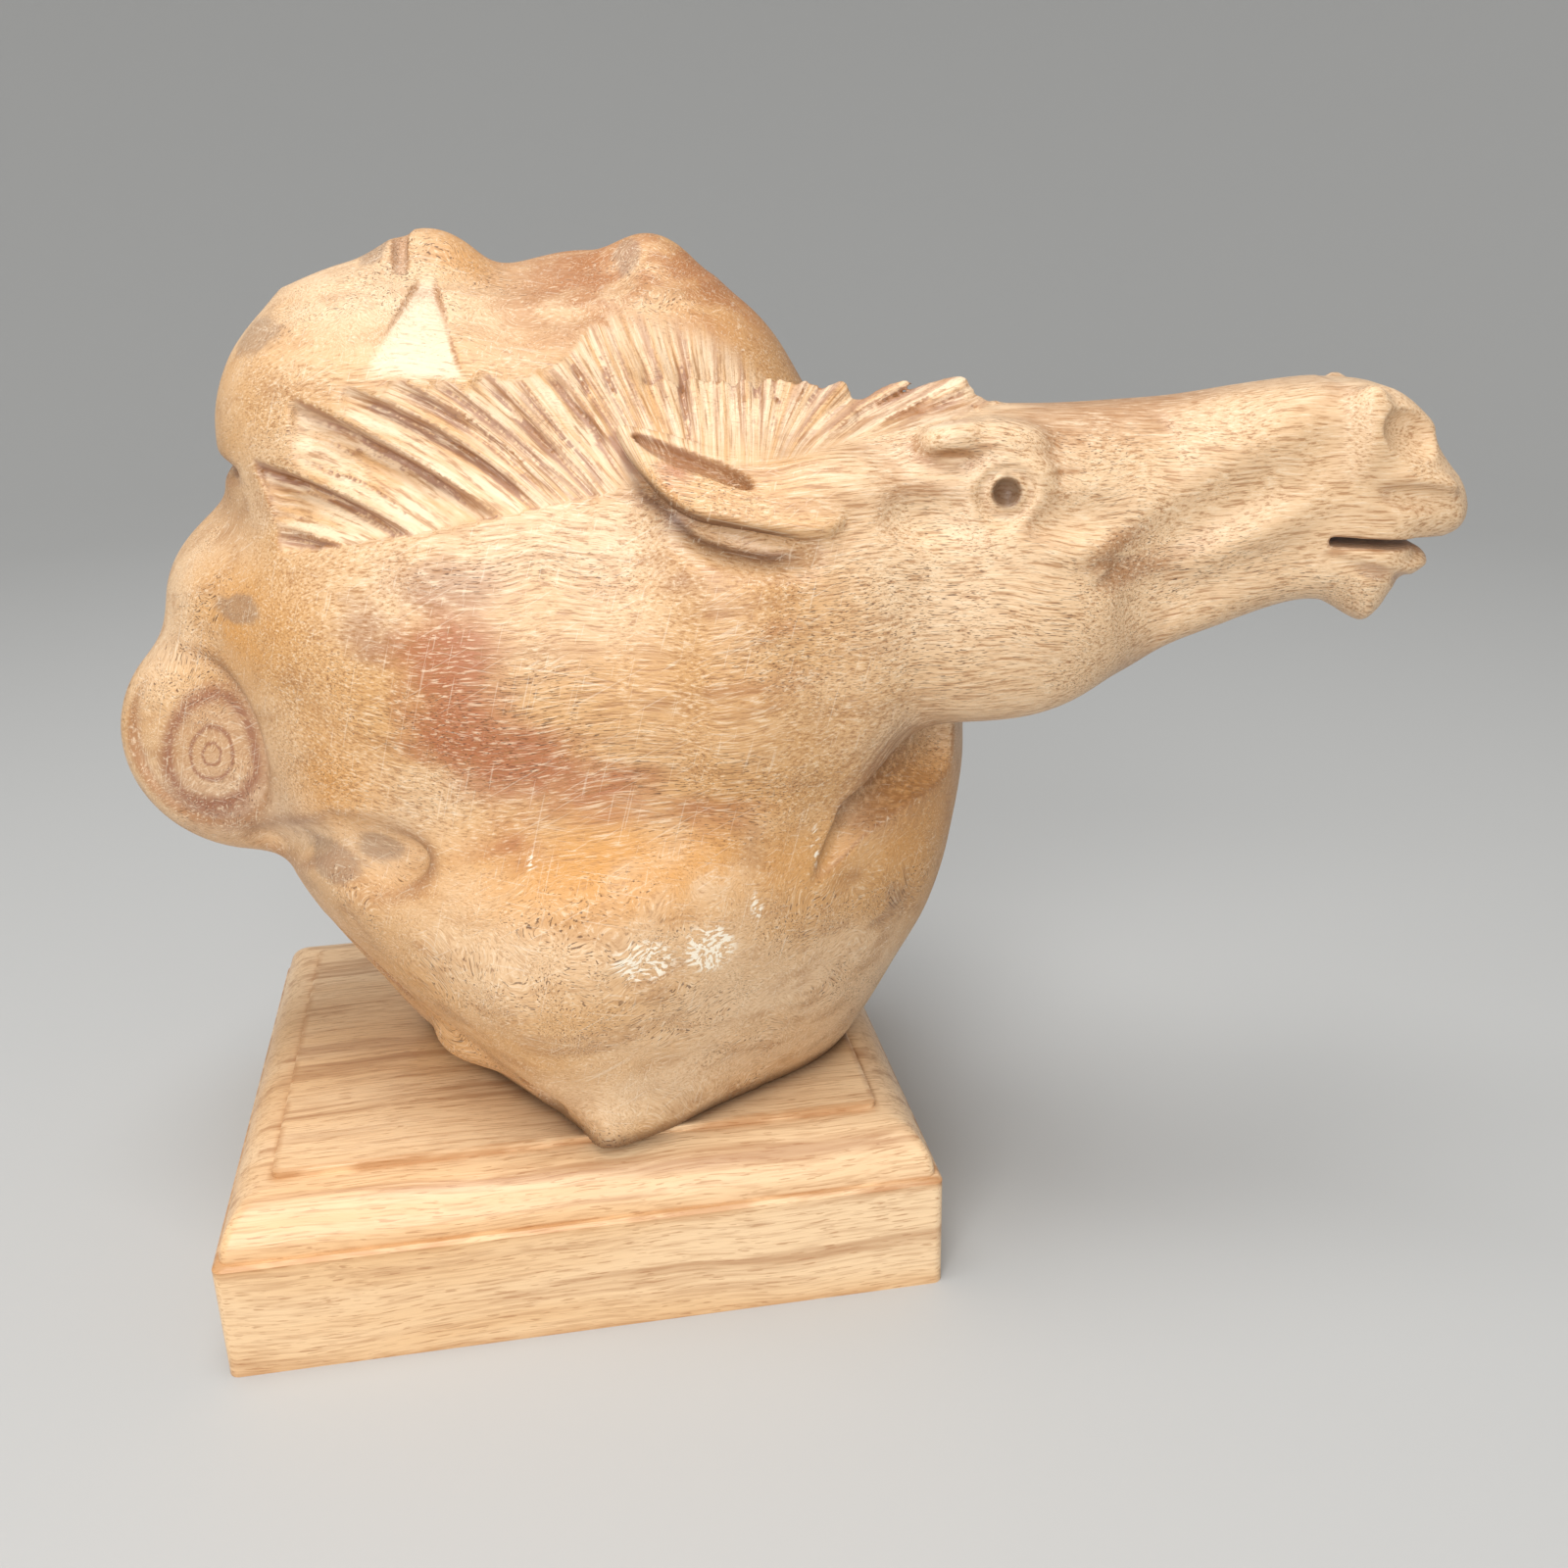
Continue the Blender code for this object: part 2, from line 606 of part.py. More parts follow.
def crest(points, low, high):
    """Distance to the mane's crest, a wedge with a thin flat edge."""
    x, y, z = points[..., 0], points[..., 1], points[..., 2]
    under = smooth_row(x, CREST, 1) - z
    side = np.abs(y - CREST_MIDDLE) - CREST_EDGE - CREST_SPREAD * np.clip(under, 0, CREST_FOOT)
    ends = np.maximum(CREST[0][0] - x, x - CREST[-1][0])
    return np.maximum(np.maximum(side * 0.78, -under), np.maximum(under - 1.6 * CREST_FOOT, ends))


# The crease of the throat, under the neck's lower edge.
THROAT_WORK = (
    (cut, 1.2, rod, (82, -26, 73), (71.5, -35, 70.5), 8.0, 6.5),
    (cut, 1.2, rod, (71.5, -35, 70.5), (62.8, -42, 65), 6.5, 4.4),
    (cut, 1.2, rod, (62.8, -42, 65), (55.5, -47.5, 54), 4.4, 1.0),
)


def carving_field(points):
    """Distance to the carving: less than nothing inside the wood."""
    burl = worked(points, trunk_field(points), BURL_WORK)
    head = worked(both_sides(points), loft(points, HEAD, HEAD_MIDLINE), HEAD_WORK)
    fillet = 10 - 7 * step_up(points[..., 0], 44, 60)
    field = join(burl, head, fillet)
    field = worked(points, field, THROAT_WORK)
    field = join(field, crest(points, 0, 0), 2.5)
    field = with_mane(points, field)
    field = worked(points, field, EAR_WORK)
    return np.maximum(field, -points[..., 2])


def drawn_out(field, cell):
    """The surface of a field as points and four-sided faces, in design millimetres."""
    wide = cell * BLOCK
    counts = np.ceil((DESIGN_HIGH - DESIGN_LOW) / wide).astype(int)
    axes = [DESIGN_LOW[i] + wide * (np.arange(counts[i]) + 0.5) for i in range(3)]
    middles = np.stack(np.meshgrid(*axes, indexing="ij"), axis=-1)
    rough = field(middles)
    near = np.abs(rough) < wide * 1.2 + 4
    values = np.sign(rough) * wide
    for i in range(3):
        values = np.repeat(values, BLOCK, axis=i)
        near = np.repeat(near, BLOCK, axis=i)
    places = np.argwhere(near)
    values[near] = field(DESIGN_LOW + (places + 0.5) * cell)
    grid = openvdb.FloatGrid(float(wide))
    grid.copyFromArray(np.ascontiguousarray(values.astype(np.float32)))
    points, quads = grid.convertToQuads(0.0)
    return DESIGN_LOW + (points.astype(float) + 0.5) * cell, quads


def wood(name, colour, roughness):
    """A plain wooden material."""
    material = bpy.data.materials.new(name)
    material.use_nodes = True
    shader = material.node_tree.nodes["Principled BSDF"]
    shader.inputs["Base Color"].default_value = (*colour, 1)
    shader.inputs["Roughness"].default_value = roughness
    shader.inputs["Metallic"].default_value = 0
    return material


def make_carving(collection):
    """The burl with the head carved out of it, one piece of wood, turned a little on its plinth."""
    points, quads = drawn_out(carving_field, CELL)
    scale = CARVING_HEIGHT / DESIGN_HEIGHT
    mesh = bpy.data.meshes.new("carved_horse_head")
    mesh.from_pydata((points * scale).tolist(), [], quads.tolist())
    mesh.validate()
    obj = bpy.data.objects.new("carved_horse_head", mesh)
    obj.location = (0, 0, PLINTH_HEIGHT + SEAT_GAP)
    obj.rotation_euler = (0, 0, CARVING_TURN)
    collection.objects.link(obj)
    mesh.shade_smooth()
    mesh.materials.append(wood("oiled driftwood", (0.66, 0.40, 0.17), 0.5))
    fewer = obj.modifiers.new("fewer faces", "DECIMATE")
    fewer.ratio = TRIANGLES / (2 * len(quads))
    return obj


def make_plinth(collection):
    """A board whose upright edges are eased, with its top drawn in through the moulding's profile."""
    bm = bmesh.new()
    bmesh.ops.create_cube(bm, size=1)
    face_height = PLINTH_HEIGHT - MOULDING_DROP
    bmesh.ops.scale(bm, vec=(PLINTH_LENGTH, PLINTH_DEPTH, face_height), verts=bm.verts)
    bmesh.ops.translate(bm, vec=(0, 0, face_height / 2), verts=bm.verts)
    upright = [e for e in bm.edges if abs(e.verts[0].co.z - e.verts[1].co.z) > face_height / 2]
    bmesh.ops.bevel(bm, geom=upright, offset=PLINTH_CORNER, segments=3, profile=0.5, affect="EDGES")
    top = max(bm.faces, key=lambda f: f.calc_center_median().z)
    # The profile: how far in from the end face, and height above the upright face.
    round_rise = MOULDING_DROP - MOULDING_STEP
    round_reach = MOULDING_SIDE_INSET - MOULDING_LEDGE - MOULDING_SHELF
    steps = [(EDGE_EASE, 0.0), (MOULDING_LEDGE, 0.0)]
    for i in range(1, MOULDING_FACETS + 1):
        turn = math.pi / 2 * i / MOULDING_FACETS
        steps.append((MOULDING_LEDGE + round_reach * (1 - math.cos(turn)), round_rise * math.sin(turn)))
    steps.append((MOULDING_SIDE_INSET, round_rise))
    steps.append((MOULDING_SIDE_INSET + EDGE_EASE, MOULDING_DROP))
    outline = [v.co.copy() for v in top.verts]
    for v in top.verts:
        v.co.z -= EDGE_EASE
    for inset, rise in steps:
        share = inset / MOULDING_SIDE_INSET
        new = bmesh.ops.extrude_face_region(bm, geom=[top])
        bm.faces.remove(top)
        top = next(g for g in new["geom"] if isinstance(g, bmesh.types.BMFace))
        for vert, corner in zip(top.verts, outline):
            vert.co.x = corner.x * (1 - 2 * share * MOULDING_SIDE_INSET / PLINTH_LENGTH)
            vert.co.y = corner.y * (1 - 2 * share * MOULDING_FRONT_INSET / PLINTH_DEPTH)
            vert.co.z = face_height + rise
    mesh = bpy.data.meshes.new("plinth")
    bm.normal_update()
    bm.to_mesh(mesh)
    bm.free()
    obj = bpy.data.objects.new("plinth", mesh)
    collection.objects.link(obj)
    mesh.shade_smooth()
    mesh.set_sharp_from_angle(angle=math.radians(35))
    mesh.materials.append(wood("varnished plinth wood", (0.64, 0.37, 0.15), 0.35))
    return obj


def main():
    for obj in list(bpy.data.objects):
        bpy.data.objects.remove(obj)
    collection = bpy.data.collections.new("Driftwood horse head")
    bpy.context.scene.collection.children.link(collection)
    make_plinth(collection)
    make_carving(collection)


if __name__ == "__main__":
    main()
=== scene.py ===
"""The driftwood horse head dressed for show: the fine carving, the wood, the plinth and a plain stage."""

import math

import bpy
import numpy as np
import openvdb
from mathutils import Matrix, Vector


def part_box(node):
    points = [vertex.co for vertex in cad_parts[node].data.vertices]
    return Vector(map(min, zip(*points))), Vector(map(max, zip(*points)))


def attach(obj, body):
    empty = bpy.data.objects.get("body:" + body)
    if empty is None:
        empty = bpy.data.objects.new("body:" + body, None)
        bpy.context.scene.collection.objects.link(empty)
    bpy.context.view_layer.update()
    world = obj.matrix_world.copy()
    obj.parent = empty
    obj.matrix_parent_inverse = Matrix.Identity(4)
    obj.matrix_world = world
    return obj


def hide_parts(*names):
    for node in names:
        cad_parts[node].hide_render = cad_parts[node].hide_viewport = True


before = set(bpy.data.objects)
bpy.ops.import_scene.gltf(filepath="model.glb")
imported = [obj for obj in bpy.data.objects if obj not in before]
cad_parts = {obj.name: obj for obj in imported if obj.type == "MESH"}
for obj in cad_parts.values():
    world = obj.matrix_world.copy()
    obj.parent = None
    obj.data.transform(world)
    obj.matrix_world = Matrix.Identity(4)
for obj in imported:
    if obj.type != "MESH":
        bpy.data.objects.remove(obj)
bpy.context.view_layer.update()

bl_info = {
    "name": "Driftwood Horse Head",
    "version": (1, 0, 0),
    "blender": (4, 5, 0),
    "location": "3D View > Sidebar > Horse Head",
    "description": "Carves the horse head out of its burl, moulds its plinth and sets the stage",
    "category": "Add Mesh",
}

MM = 0.001
CARVING = "carved_horse_head"
PLINTH = "plinth"
CARVING_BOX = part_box(CARVING)
PLINTH_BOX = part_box(PLINTH)

# The carving's own frame, in design millimetres, stands turned on the plinth's top.
DESIGN_HEIGHT = 168.0
DESIGN_LOW = np.array((-96.0, -72.0, -8.0))
DESIGN_HIGH = np.array((182.0, 68.0, 176.0))
TURN = math.radians(-9.5)
SCALE = (CARVING_BOX[1][2] - CARVING_BOX[0][2]) / DESIGN_HEIGHT

# The surface is looked for in blocks of so many cells a side, in a band of so many blocks and millimetres.
BLOCK = 4
BAND_BLOCKS = 1.3
BAND = 3.0
# A shape is worked out as far round it as its fillet and this much more.
ROOM = 6.0
# Half the distance over which a slope is measured.
SLOPE_STEP = 0.25

# Trunk of the burl, from the plinth up: height, left, right, front, back.
TRUNK = (
    (-6, -30, 54, -42, 30),
    (0, -33, 62, -48, 36),
    (8, -37, 67, -54, 42),
    (20, -40, 73, -58, 47),
    (34, -47, 80, -59.5, 51),
    (50, -54, 84.5, -58, 54),
    (66, -58, 87, -54, 56),
    (82, -60, 87, -50, 56),
    (100, -61, 83, -45, 54),
    (118, -56, 72, -39, 50),
    (134, -54, 57, -33, 44),
    (146, -48, 44, -26, 37),
    (154, -38, 32, -12, 26),
)
TRUNK_SQUARENESS = 2.2

# Flats that taper the trunk towards the tip it stands on: outward direction, distance, blend width.
TAPERS = (
    ((-0.600, -0.560, -0.57), 20.6, 8),
    ((0.474, -0.774, -0.41), 45.5, 14),
)

# Neck and head seen from the side: place along the head, top, bottom, half width.
HEAD_MIDLINE = -28.0
HEAD_SQUARENESS = 2.4
HEAD = (
    (24, 124, 78, 12),
    (40, 133, 62, 26),
    (52, 133.5, 62, 25.5),
    (62, 134.5, 66, 24),
    (74, 136.5, 77.5, 21.5),
    (86, 137.0, 80, 19.5),
    (98, 136.8, 82.5, 17.5),
    (110, 137.2, 86.5, 15.0),
    (124, 138, 94.5, 13.0),
    (138, 139, 100, 11.8),
    (146, 139.6, 102, 11.0),
)

# Crest of the mane, a wedge on top of the neck: place along, top.
CREST = (
    (-4, 132),
    (14, 143.5),
    (42, 143),
    (62, 142),
    (65, 139.2),
    (69, 141.4),
    (82, 142.4),
    (88, 137),
    (96, 130),
)
CREST_MIDDLE = -25.0
CREST_EDGE = 0.9
CREST_SPREAD = 0.8
CREST_LEAN = 0.78
CREST_FOOT = 9.0
CREST_SUNK = 1.6
CREST_FILLET = 2.5

# Grooves of the mane, a fan of lines seen from the side: root along and up, tip along and up,
# bow, depth under the next lock, how far the lock below reaches at its lower edge.
FAN = (
    (-22, 108.5, -40, 110, 0.0, 0.3, 1.0),
    (-20, 112.0, -41, 114.3, 0.4, 0.9, 1.0),
    (-13, 112.5, -41.5, 118, 1.7, 1.8, 1.0),
    (-3, 113.5, -46.5, 130, 2.1, 4.2, 1.0),
    (9, 117, -36.5, 141.3, 1.6, 5.0, 0.76),
    (15, 118.5, -26.5, 143.3, 2.6, 4.6, 0.78),
    (17.5, 119, -17, 144.3, 2.2, 3.4, 0.86),
    (22, 119.5, -8.5, 144, 0.5, 2.4, 0.88),
    (23, 121, -1.5, 145, 0.3, 2.4, 0.9),
    (22.5, 124.5, 4.5, 143.5, -0.5, 3.4, 0.95),
    (25.5, 127, 10.5, 145.5, 0.2, 1.5, 1.0),
    (26.5, 129.5, 13.5, 148, 0.0, 1.4, 1.0),
    (27.5, 131, 16.5, 152, 0.0, 1.4, 1.0),
    (30, 131, 19.5, 151, 0.0, 1.8, 1.0),
    (33.5, 131, 26, 151, 0.0, 1.8, 1.2),
    (36.5, 130.5, 33, 150, 0.0, 2.1, 1.2),
    (40, 130.5, 39, 150, 0.0, 1.4, 1.2),
    (44.5, 130.5, 43.5, 150, 0.0, 2.0, 1.2),
    (47, 130.5, 49, 150, 0.0, 2.4, 1.2),
    (49, 130.5, 60, 150, 0.0, 1.4, 1.2),
    (50.5, 130, 67, 147, 0.0, 2.0, 1.2),
    (53, 130.5, 79, 145, 0.0, 2.2, 1.2),
    (60, 132, 90, 144.5, 0.0, 1.7, 1.2),
    (66, 133.2, 93, 138, 0.0, 1.2, 1.2),
)
# The part of the fan that stands for the mane: along the head, up, and from the head's middle to its side.
MANE_ALONG = (-50, 94)
MANE_UP = (104, 152)
MANE_SIDE = (-20, -12)
MANE_REACH = 1.2
MANE_BAND = 12
MANE_FRONT = 70
# A lock slopes down under the next one, which it meets at a wall.
LOCK_STEEPEST = 0.5
LOCK_LOW = 0.1
LOCK_WALL = 1.9
LOCK_WALL_SHARES = (0.45, 0.78)
LOCK_BOW = 1.3
# The locks from this groove on stand up in the crest.
CREST_FROM = 9
CREST_LOCK_LOW = 0.2
STRAND_WIDTH = 2.1
STRAND_DEPTH = 0.9
STRAND_BOW = 0.8

# Outline of the muzzle, lips and chin from the side, from the back of the nose forwards.
MUZZLE = (
    (114, 134.6),
    (128, 137.9),
    (137.8, 139.4),
    (147.6, 140.1),
    (152.7, 139.8),
    (157.2, 138.9),
    (160.2, 137.3),
    (163.2, 134.8),
    (165.4, 132.8),
    (165.8, 130.8),
    (166.9, 128.4),
    (169.3, 125.4),
    (172.4, 122.4),
    (174.1, 118.8),
    (174.3, 116.0),
    (173.0, 113.4),
    (170.4, 112.2),
    (166.5, 111.6),
    (163.0, 111.3),
    (166.2, 110.3),
    (167.6, 107.7),
    (165.0, 105.8),
    (162.1, 104.4),
    (160.4, 102.6),
    (159.4, 100.3),
    (157.4, 98.0),
    (155.7, 97.0),
    (153.0, 98.4),
    (150.4, 100.1),
    (147.7, 101.5),
    (144.5, 101.7),
    (141.0, 101.2),
    (135.0, 99.3),
    (128.0, 96.6),
    (114, 92.5),
)
MUZZLE_WIDTHS = ((114, 12.2), (128, 12.4), (150, 12.4), (160, 12.2), (168, 11.0), (175, 8.5))
MUZZLE_ROUNDING = 8.5

# Corners of the bright chisel face under the top knob, seen from the side.
FACET = ((-13.0, 162.0), (-22.5, 144.5), (-5.2, 143.6))

# Outline of the tip the burl stands on, seen from above, and its height.
PROW = (
    (0, -22),
    (3.0, -31),
    (5.0, -38),
    (8.0, -46.5),
    (11.0, -51.6),
    (14.0, -53.2),
    (20.0, -52.0),
    (28.0, -46.8),
    (36.0, -38),
    (44.0, -30),
    (36.0, -16),
)
PROW_HEIGHT = 24.0
PROW_FLARE = 0.22
PROW_FLARE_FROM = 7.0
PROW_UNDERCUT = 0.55
PROW_UNDERCUT_HEIGHT = 3.5
PROW_UNDERCUT_ALONG = (12, 22)
PROW_ROUNDING = 1.2
PROW_SUNK = 2

# Outline of the ear in the plane it lies in, from its tip along the lower rim and back.
EAR = (
    (0.0, -0.6),
    (2.5, -2.6),
    (6.0, -4.8),
    (12.0, -7.8),
    (17.7, -9.6),
    (22.7, -9.6),
    (27.8, -7.8),
    (32.0, -6.2),
    (36.0, -4.6),
    (40.0, -2.8),
    (44.0, 0.5),
    (43.0, 6.0),
    (36.0, 9.0),
    (31.4, 8.8),
    (27.1, 8.0),
    (22.3, 6.4),
    (17.6, 4.9),
    (13.3, 4.2),
    (7.3, 2.6),
    (2.5, 0.6),
)
EAR_HOLLOW = (
    (3.0, -1.2),
    (8.0, -3.0),
    (13.0, -3.6),
    (18.0, -2.6),
    (23.0, -2.0),
    (28.8, -1.0),
    (25.0, 1.3),
    (20.0, 1.7),
    (15.0, 1.0),
    (9.0, 0.2),
)
EAR_TIP = (22.0, -36.5, 137.2)
EAR_ALONG = (0.853, -0.356, -0.382)
EAR_ACROSS = (0.508, 0.737, 0.446)
EAR_OUTWARD = (0.122, -0.574, 0.809)
EAR_THICKNESS = 3.4
EAR_BULGE = 0.012
EAR_MIDDLE = -1.5
EAR_ROUNDING = 1.1
EAR_FLOOR = -3.1
EAR_FLOOR_SLOPE = 0.55
EAR_FLOOR_EDGE = 1.2
EAR_RIM = 0.8

# Fillet between the neck and the burl, wider at the neck's root, and where it narrows.
NECK_FILLET = 10
NECK_FILLET_LOSS = 7
NECK_FILLET_ALONG = (44, 60)


def ball(points, centre, radii, axis=None):
    """Distance to an ellipsoid, close enough near its surface; its first radius can lie along an axis."""
    away = points - np.array(centre, float)
    if axis is not None:
        first = np.array(axis, float) / np.linalg.norm(axis)
        side = np.cross((0, 0, 1), first)
        side = side / np.linalg.norm(side)
        away = away @ np.stack((first, side, np.cross(first, side)), axis=-1)
    away = away / np.array(radii, float)
    reach = np.linalg.norm(away, axis=-1) + 1e-9
    slope = np.linalg.norm(away / np.array(radii, float), axis=-1) + 1e-9
    return reach * (reach - 1) / slope


def rod(points, start, end, radius, end_radius):
    """Distance to a round rod that tapers from one radius to the other."""
    start, end = np.array(start, float), np.array(end, float)
    run = end - start
    share = np.clip((points - start) @ run / (run @ run), 0, 1)
    thick = radius + (end_radius - radius) * share
    return np.linalg.norm(points - start - share[..., None] * run, axis=-1) - thick


def flat(points, spot, outward, radius):
    """Distance to the wood that a flat chisel face takes off round a spot."""
    outward = np.array(outward, float) / np.linalg.norm(outward)
    away = points - np.array(spot, float)
    above = away @ outward
    beside = np.linalg.norm(away - above[..., None] * outward, axis=-1)
    return np.maximum(-above, beside - radius)


def facet(points, low, high, spot, outward):
    """Distance to the wood that the three-cornered chisel face takes off."""
    side = outline_distance(points[..., 0], points[..., 2], FACET)
    return np.maximum(-(points - np.array(spot)) @ np.array(outward), side)


def rounded_corners(outline):
    """The outline with its corners cut off."""
    points = np.array(outline, float)
    following = np.roll(points, -1, axis=0)
    pairs = np.stack((0.75 * points + 0.25 * following, 0.25 * points + 0.75 * following), axis=1)
    return pairs.reshape(-1, 2)


def outline_distance(along, up, outline):
    """Distance to a closed outline, less than nothing inside it."""
    nearest = np.full(along.shape, 1e9)
    inside = np.zeros(along.shape, bool)
    for (ax, az), (bx, bz) in zip(outline, np.roll(outline, -1, axis=0)):
        run, rise = bx - ax, bz - az
        dx, dz = along - ax, up - az
        share = np.clip((dx * run + dz * rise) / (run * run + rise * rise), 0, 1)
        nearest = np.minimum(nearest, (dx - share * run) ** 2 + (dz - share * rise) ** 2)
        spans = (az <= up) != (bz <= up)
        inside ^= spans & (along < ax + (up - az) * run / (rise or 1e-9))
    return np.sqrt(nearest) * np.where(inside, -1, 1)


def thickened(side, beside, rounding):
    """Distance to an outline that is given a thickness and rounded edges."""
    edge, face = side + rounding, beside + rounding
    outside = np.hypot(np.maximum(edge, 0), np.maximum(face, 0))
    return outside + np.minimum(np.maximum(edge, face), 0) - rounding


def muzzle(points, low, high):
    """Distance to the muzzle, lips and chin, rounded out from their outline."""
    x, y, z = points[..., 0], points[..., 1], points[..., 2]
    half = smooth_row(x, MUZZLE_WIDTHS, 1)
    side = outline_distance(x, z, rounded_corners(MUZZLE))
    return thickened(side, np.abs(y - HEAD_MIDLINE) - half, MUZZLE_ROUNDING)


def prow(points, low, high):
    """Distance to the tip that the burl stands on, flared towards its top."""
    x, y, z = points[..., 0], points[..., 1], points[..., 2]
    side = outline_distance(x, y, rounded_corners(PROW)) + PROW_FLARE * np.maximum(z - PROW_FLARE_FROM, 0)
    under = PROW_UNDERCUT * np.maximum(PROW_UNDERCUT_HEIGHT - z, 0) * step_up(x, *PROW_UNDERCUT_ALONG)
    beside = np.abs(z - PROW_HEIGHT / 2 + PROW_SUNK) - PROW_HEIGHT / 2 - PROW_SUNK
    return thickened(side + under, beside, PROW_ROUNDING)


def kerf(points, low, high, start, end, half):
    """Distance to a straight saw cut through the head, seen from the side."""
    start, end = np.array(start, float), np.array(end, float)
    away = points[..., [0, 2]] - start
    run = end - start
    share = np.clip(away @ run / (run @ run), 0, 1)
    return np.linalg.norm(away - share[..., None] * run, axis=-1) - half


def ear_frame(points):
    """Places along the ear, across it and out of its plane."""
    away = points - np.array(EAR_TIP)
    return away @ np.array(EAR_ALONG), away @ np.array(EAR_ACROSS), away @ np.array(EAR_OUTWARD)


def ear(points, low, high):
    """Distance to the leaf of the ear, curved a little over its width."""
    along, across, outward = ear_frame(points)
    side = outline_distance(along, across, rounded_corners(EAR))
    bulge = EAR_BULGE * (across - EAR_MIDDLE) ** 2
    beside = np.abs(outward + bulge + EAR_THICKNESS / 2) - EAR_THICKNESS / 2
    return thickened(side, beside, EAR_ROUNDING)


def ear_hollow(points, low, high):
    """Distance to the hollow of the ear, steep under its upper rim."""
    along, across, outward = ear_frame(points)
    side = outline_distance(along, across, rounded_corners(EAR_HOLLOW))
    floor = EAR_FLOOR + EAR_FLOOR_SLOPE * np.clip(EAR_FLOOR_EDGE - across, 0, 6)
    return join_edges(side * 0.8, floor - outward, EAR_RIM)


def bounds_of(shape, sizes):
    """Corners of the box that a shape stays in; shapes cut from outlines bring theirs along."""
    if shape is ball:
        reach = max(sizes[1])
        return np.array(sizes[0], float) - reach, np.array(sizes[0], float) + reach
    if shape is rod:
        reach = max(sizes[2:4])
        ends = np.array(sizes[0:2], float)
        return ends.min(axis=0) - reach, ends.max(axis=0) + reach
    if shape is flat:
        return np.array(sizes[0], float) - sizes[2], np.array(sizes[0], float) + sizes[2]
    return np.array(sizes[0], float), np.array(sizes[1], float)


def join(one, other, width):
    """The nearer of two distances, with a fillet of that width."""
    share = np.clip(0.5 + 0.5 * (other - one) / width, 0, 1)
    return other * (1 - share) + one * share - width * share * (1 - share)


def join_edges(one, other, width):
    """The further of two distances, with a rounded corner of that width."""
    return -join(-one, -other, width)


def cut(body, tool, width):
    """What is left of a body when a tool is taken out of it, with a rounded rim of that width."""
    return -join(-body, tool, width)


def worked(points, field, steps):
    """The field after steps of carving, each one worked out only near its own shape."""
    flat_points = points.reshape(-1, 3)
    result = field.reshape(-1).copy()
    for action, width, shape, *sizes in steps:
        low, high = bounds_of(shape, sizes)
        room = width + ROOM
        near = np.flatnonzero(((flat_points > low - room) & (flat_points < high + room)).all(axis=1))
        if len(near):
            result[near] = action(result[near], shape(flat_points[near], *sizes), width)
    return result.reshape(field.shape)


def step_up(at, low, high):
    """Smooth rise from 0 to 1 between two values."""
    share = np.clip((at - low) / (high - low), 0, 1)
    return share * share * (3 - 2 * share)


def smooth_row(at, rows, column):
    """Monotone cubic through one column of a table of stations, read at some places."""
    xs = np.array([row[0] for row in rows], float)
    ys = np.array([row[column] for row in rows], float)
    step = np.diff(xs)
    rise = np.diff(ys) / step
    slope = np.zeros(len(xs))
    slope[0], slope[-1] = rise[0], rise[-1]
    same = rise[:-1] * rise[1:] > 0
    mean = 2 * rise[:-1] * rise[1:] / np.where(same, rise[:-1] + rise[1:], 1)
    slope[1:-1] = np.where(same, mean, 0)
    at = np.clip(at, xs[0], xs[-1])
    i = np.clip(np.searchsorted(xs, at) - 1, 0, len(step) - 1)
    t = (at - xs[i]) / step[i]
    low = (2 * t**3 - 3 * t**2 + 1) * ys[i] + (t**3 - 2 * t**2 + t) * step[i] * slope[i]
    high = (3 * t**2 - 2 * t**3) * ys[i + 1] + (t**3 - t**2) * step[i] * slope[i + 1]
    return low + high


def loft(points, rows, middle, power):
    """Distance to a body with a top and a bottom line and rounded sections, seen from the side."""
    x, y, z = points[..., 0], points[..., 1], points[..., 2]
    top, bottom, half = (smooth_row(x, rows, c) for c in (1, 2, 3))
    height = (top - bottom) / 2
    across = np.abs(y - middle) / half
    up = np.abs(z - (top + bottom) / 2) / height
    reach = (across**power + up**power) ** (1 / power)
    body = (reach - 1) * np.minimum(half, height)
    ends = np.maximum(rows[0][0] - x, x - rows[-1][0])
    return np.maximum(body, ends)


def trunk_field(points):
    """Distance to the trunk of the burl, tapered towards its foot."""
    x, y, z = points[..., 0], points[..., 1], points[..., 2]
    left, right, front, back = (smooth_row(z, TRUNK, c) for c in (1, 2, 3, 4))
    power = TRUNK_SQUARENESS
    across = np.abs(2 * x - left - right) / (right - left)
    deep = np.abs(2 * y - front - back) / (back - front)
    reach = (across**power + deep**power) ** (1 / power)
    body = (reach - 1) * np.minimum(right - left, back - front) / 2
    body = np.maximum(body, z - TRUNK[-1][0])
    for outward, distance, width in TAPERS:
        body = cut(body, distance - points @ np.array(outward), width)
    return body


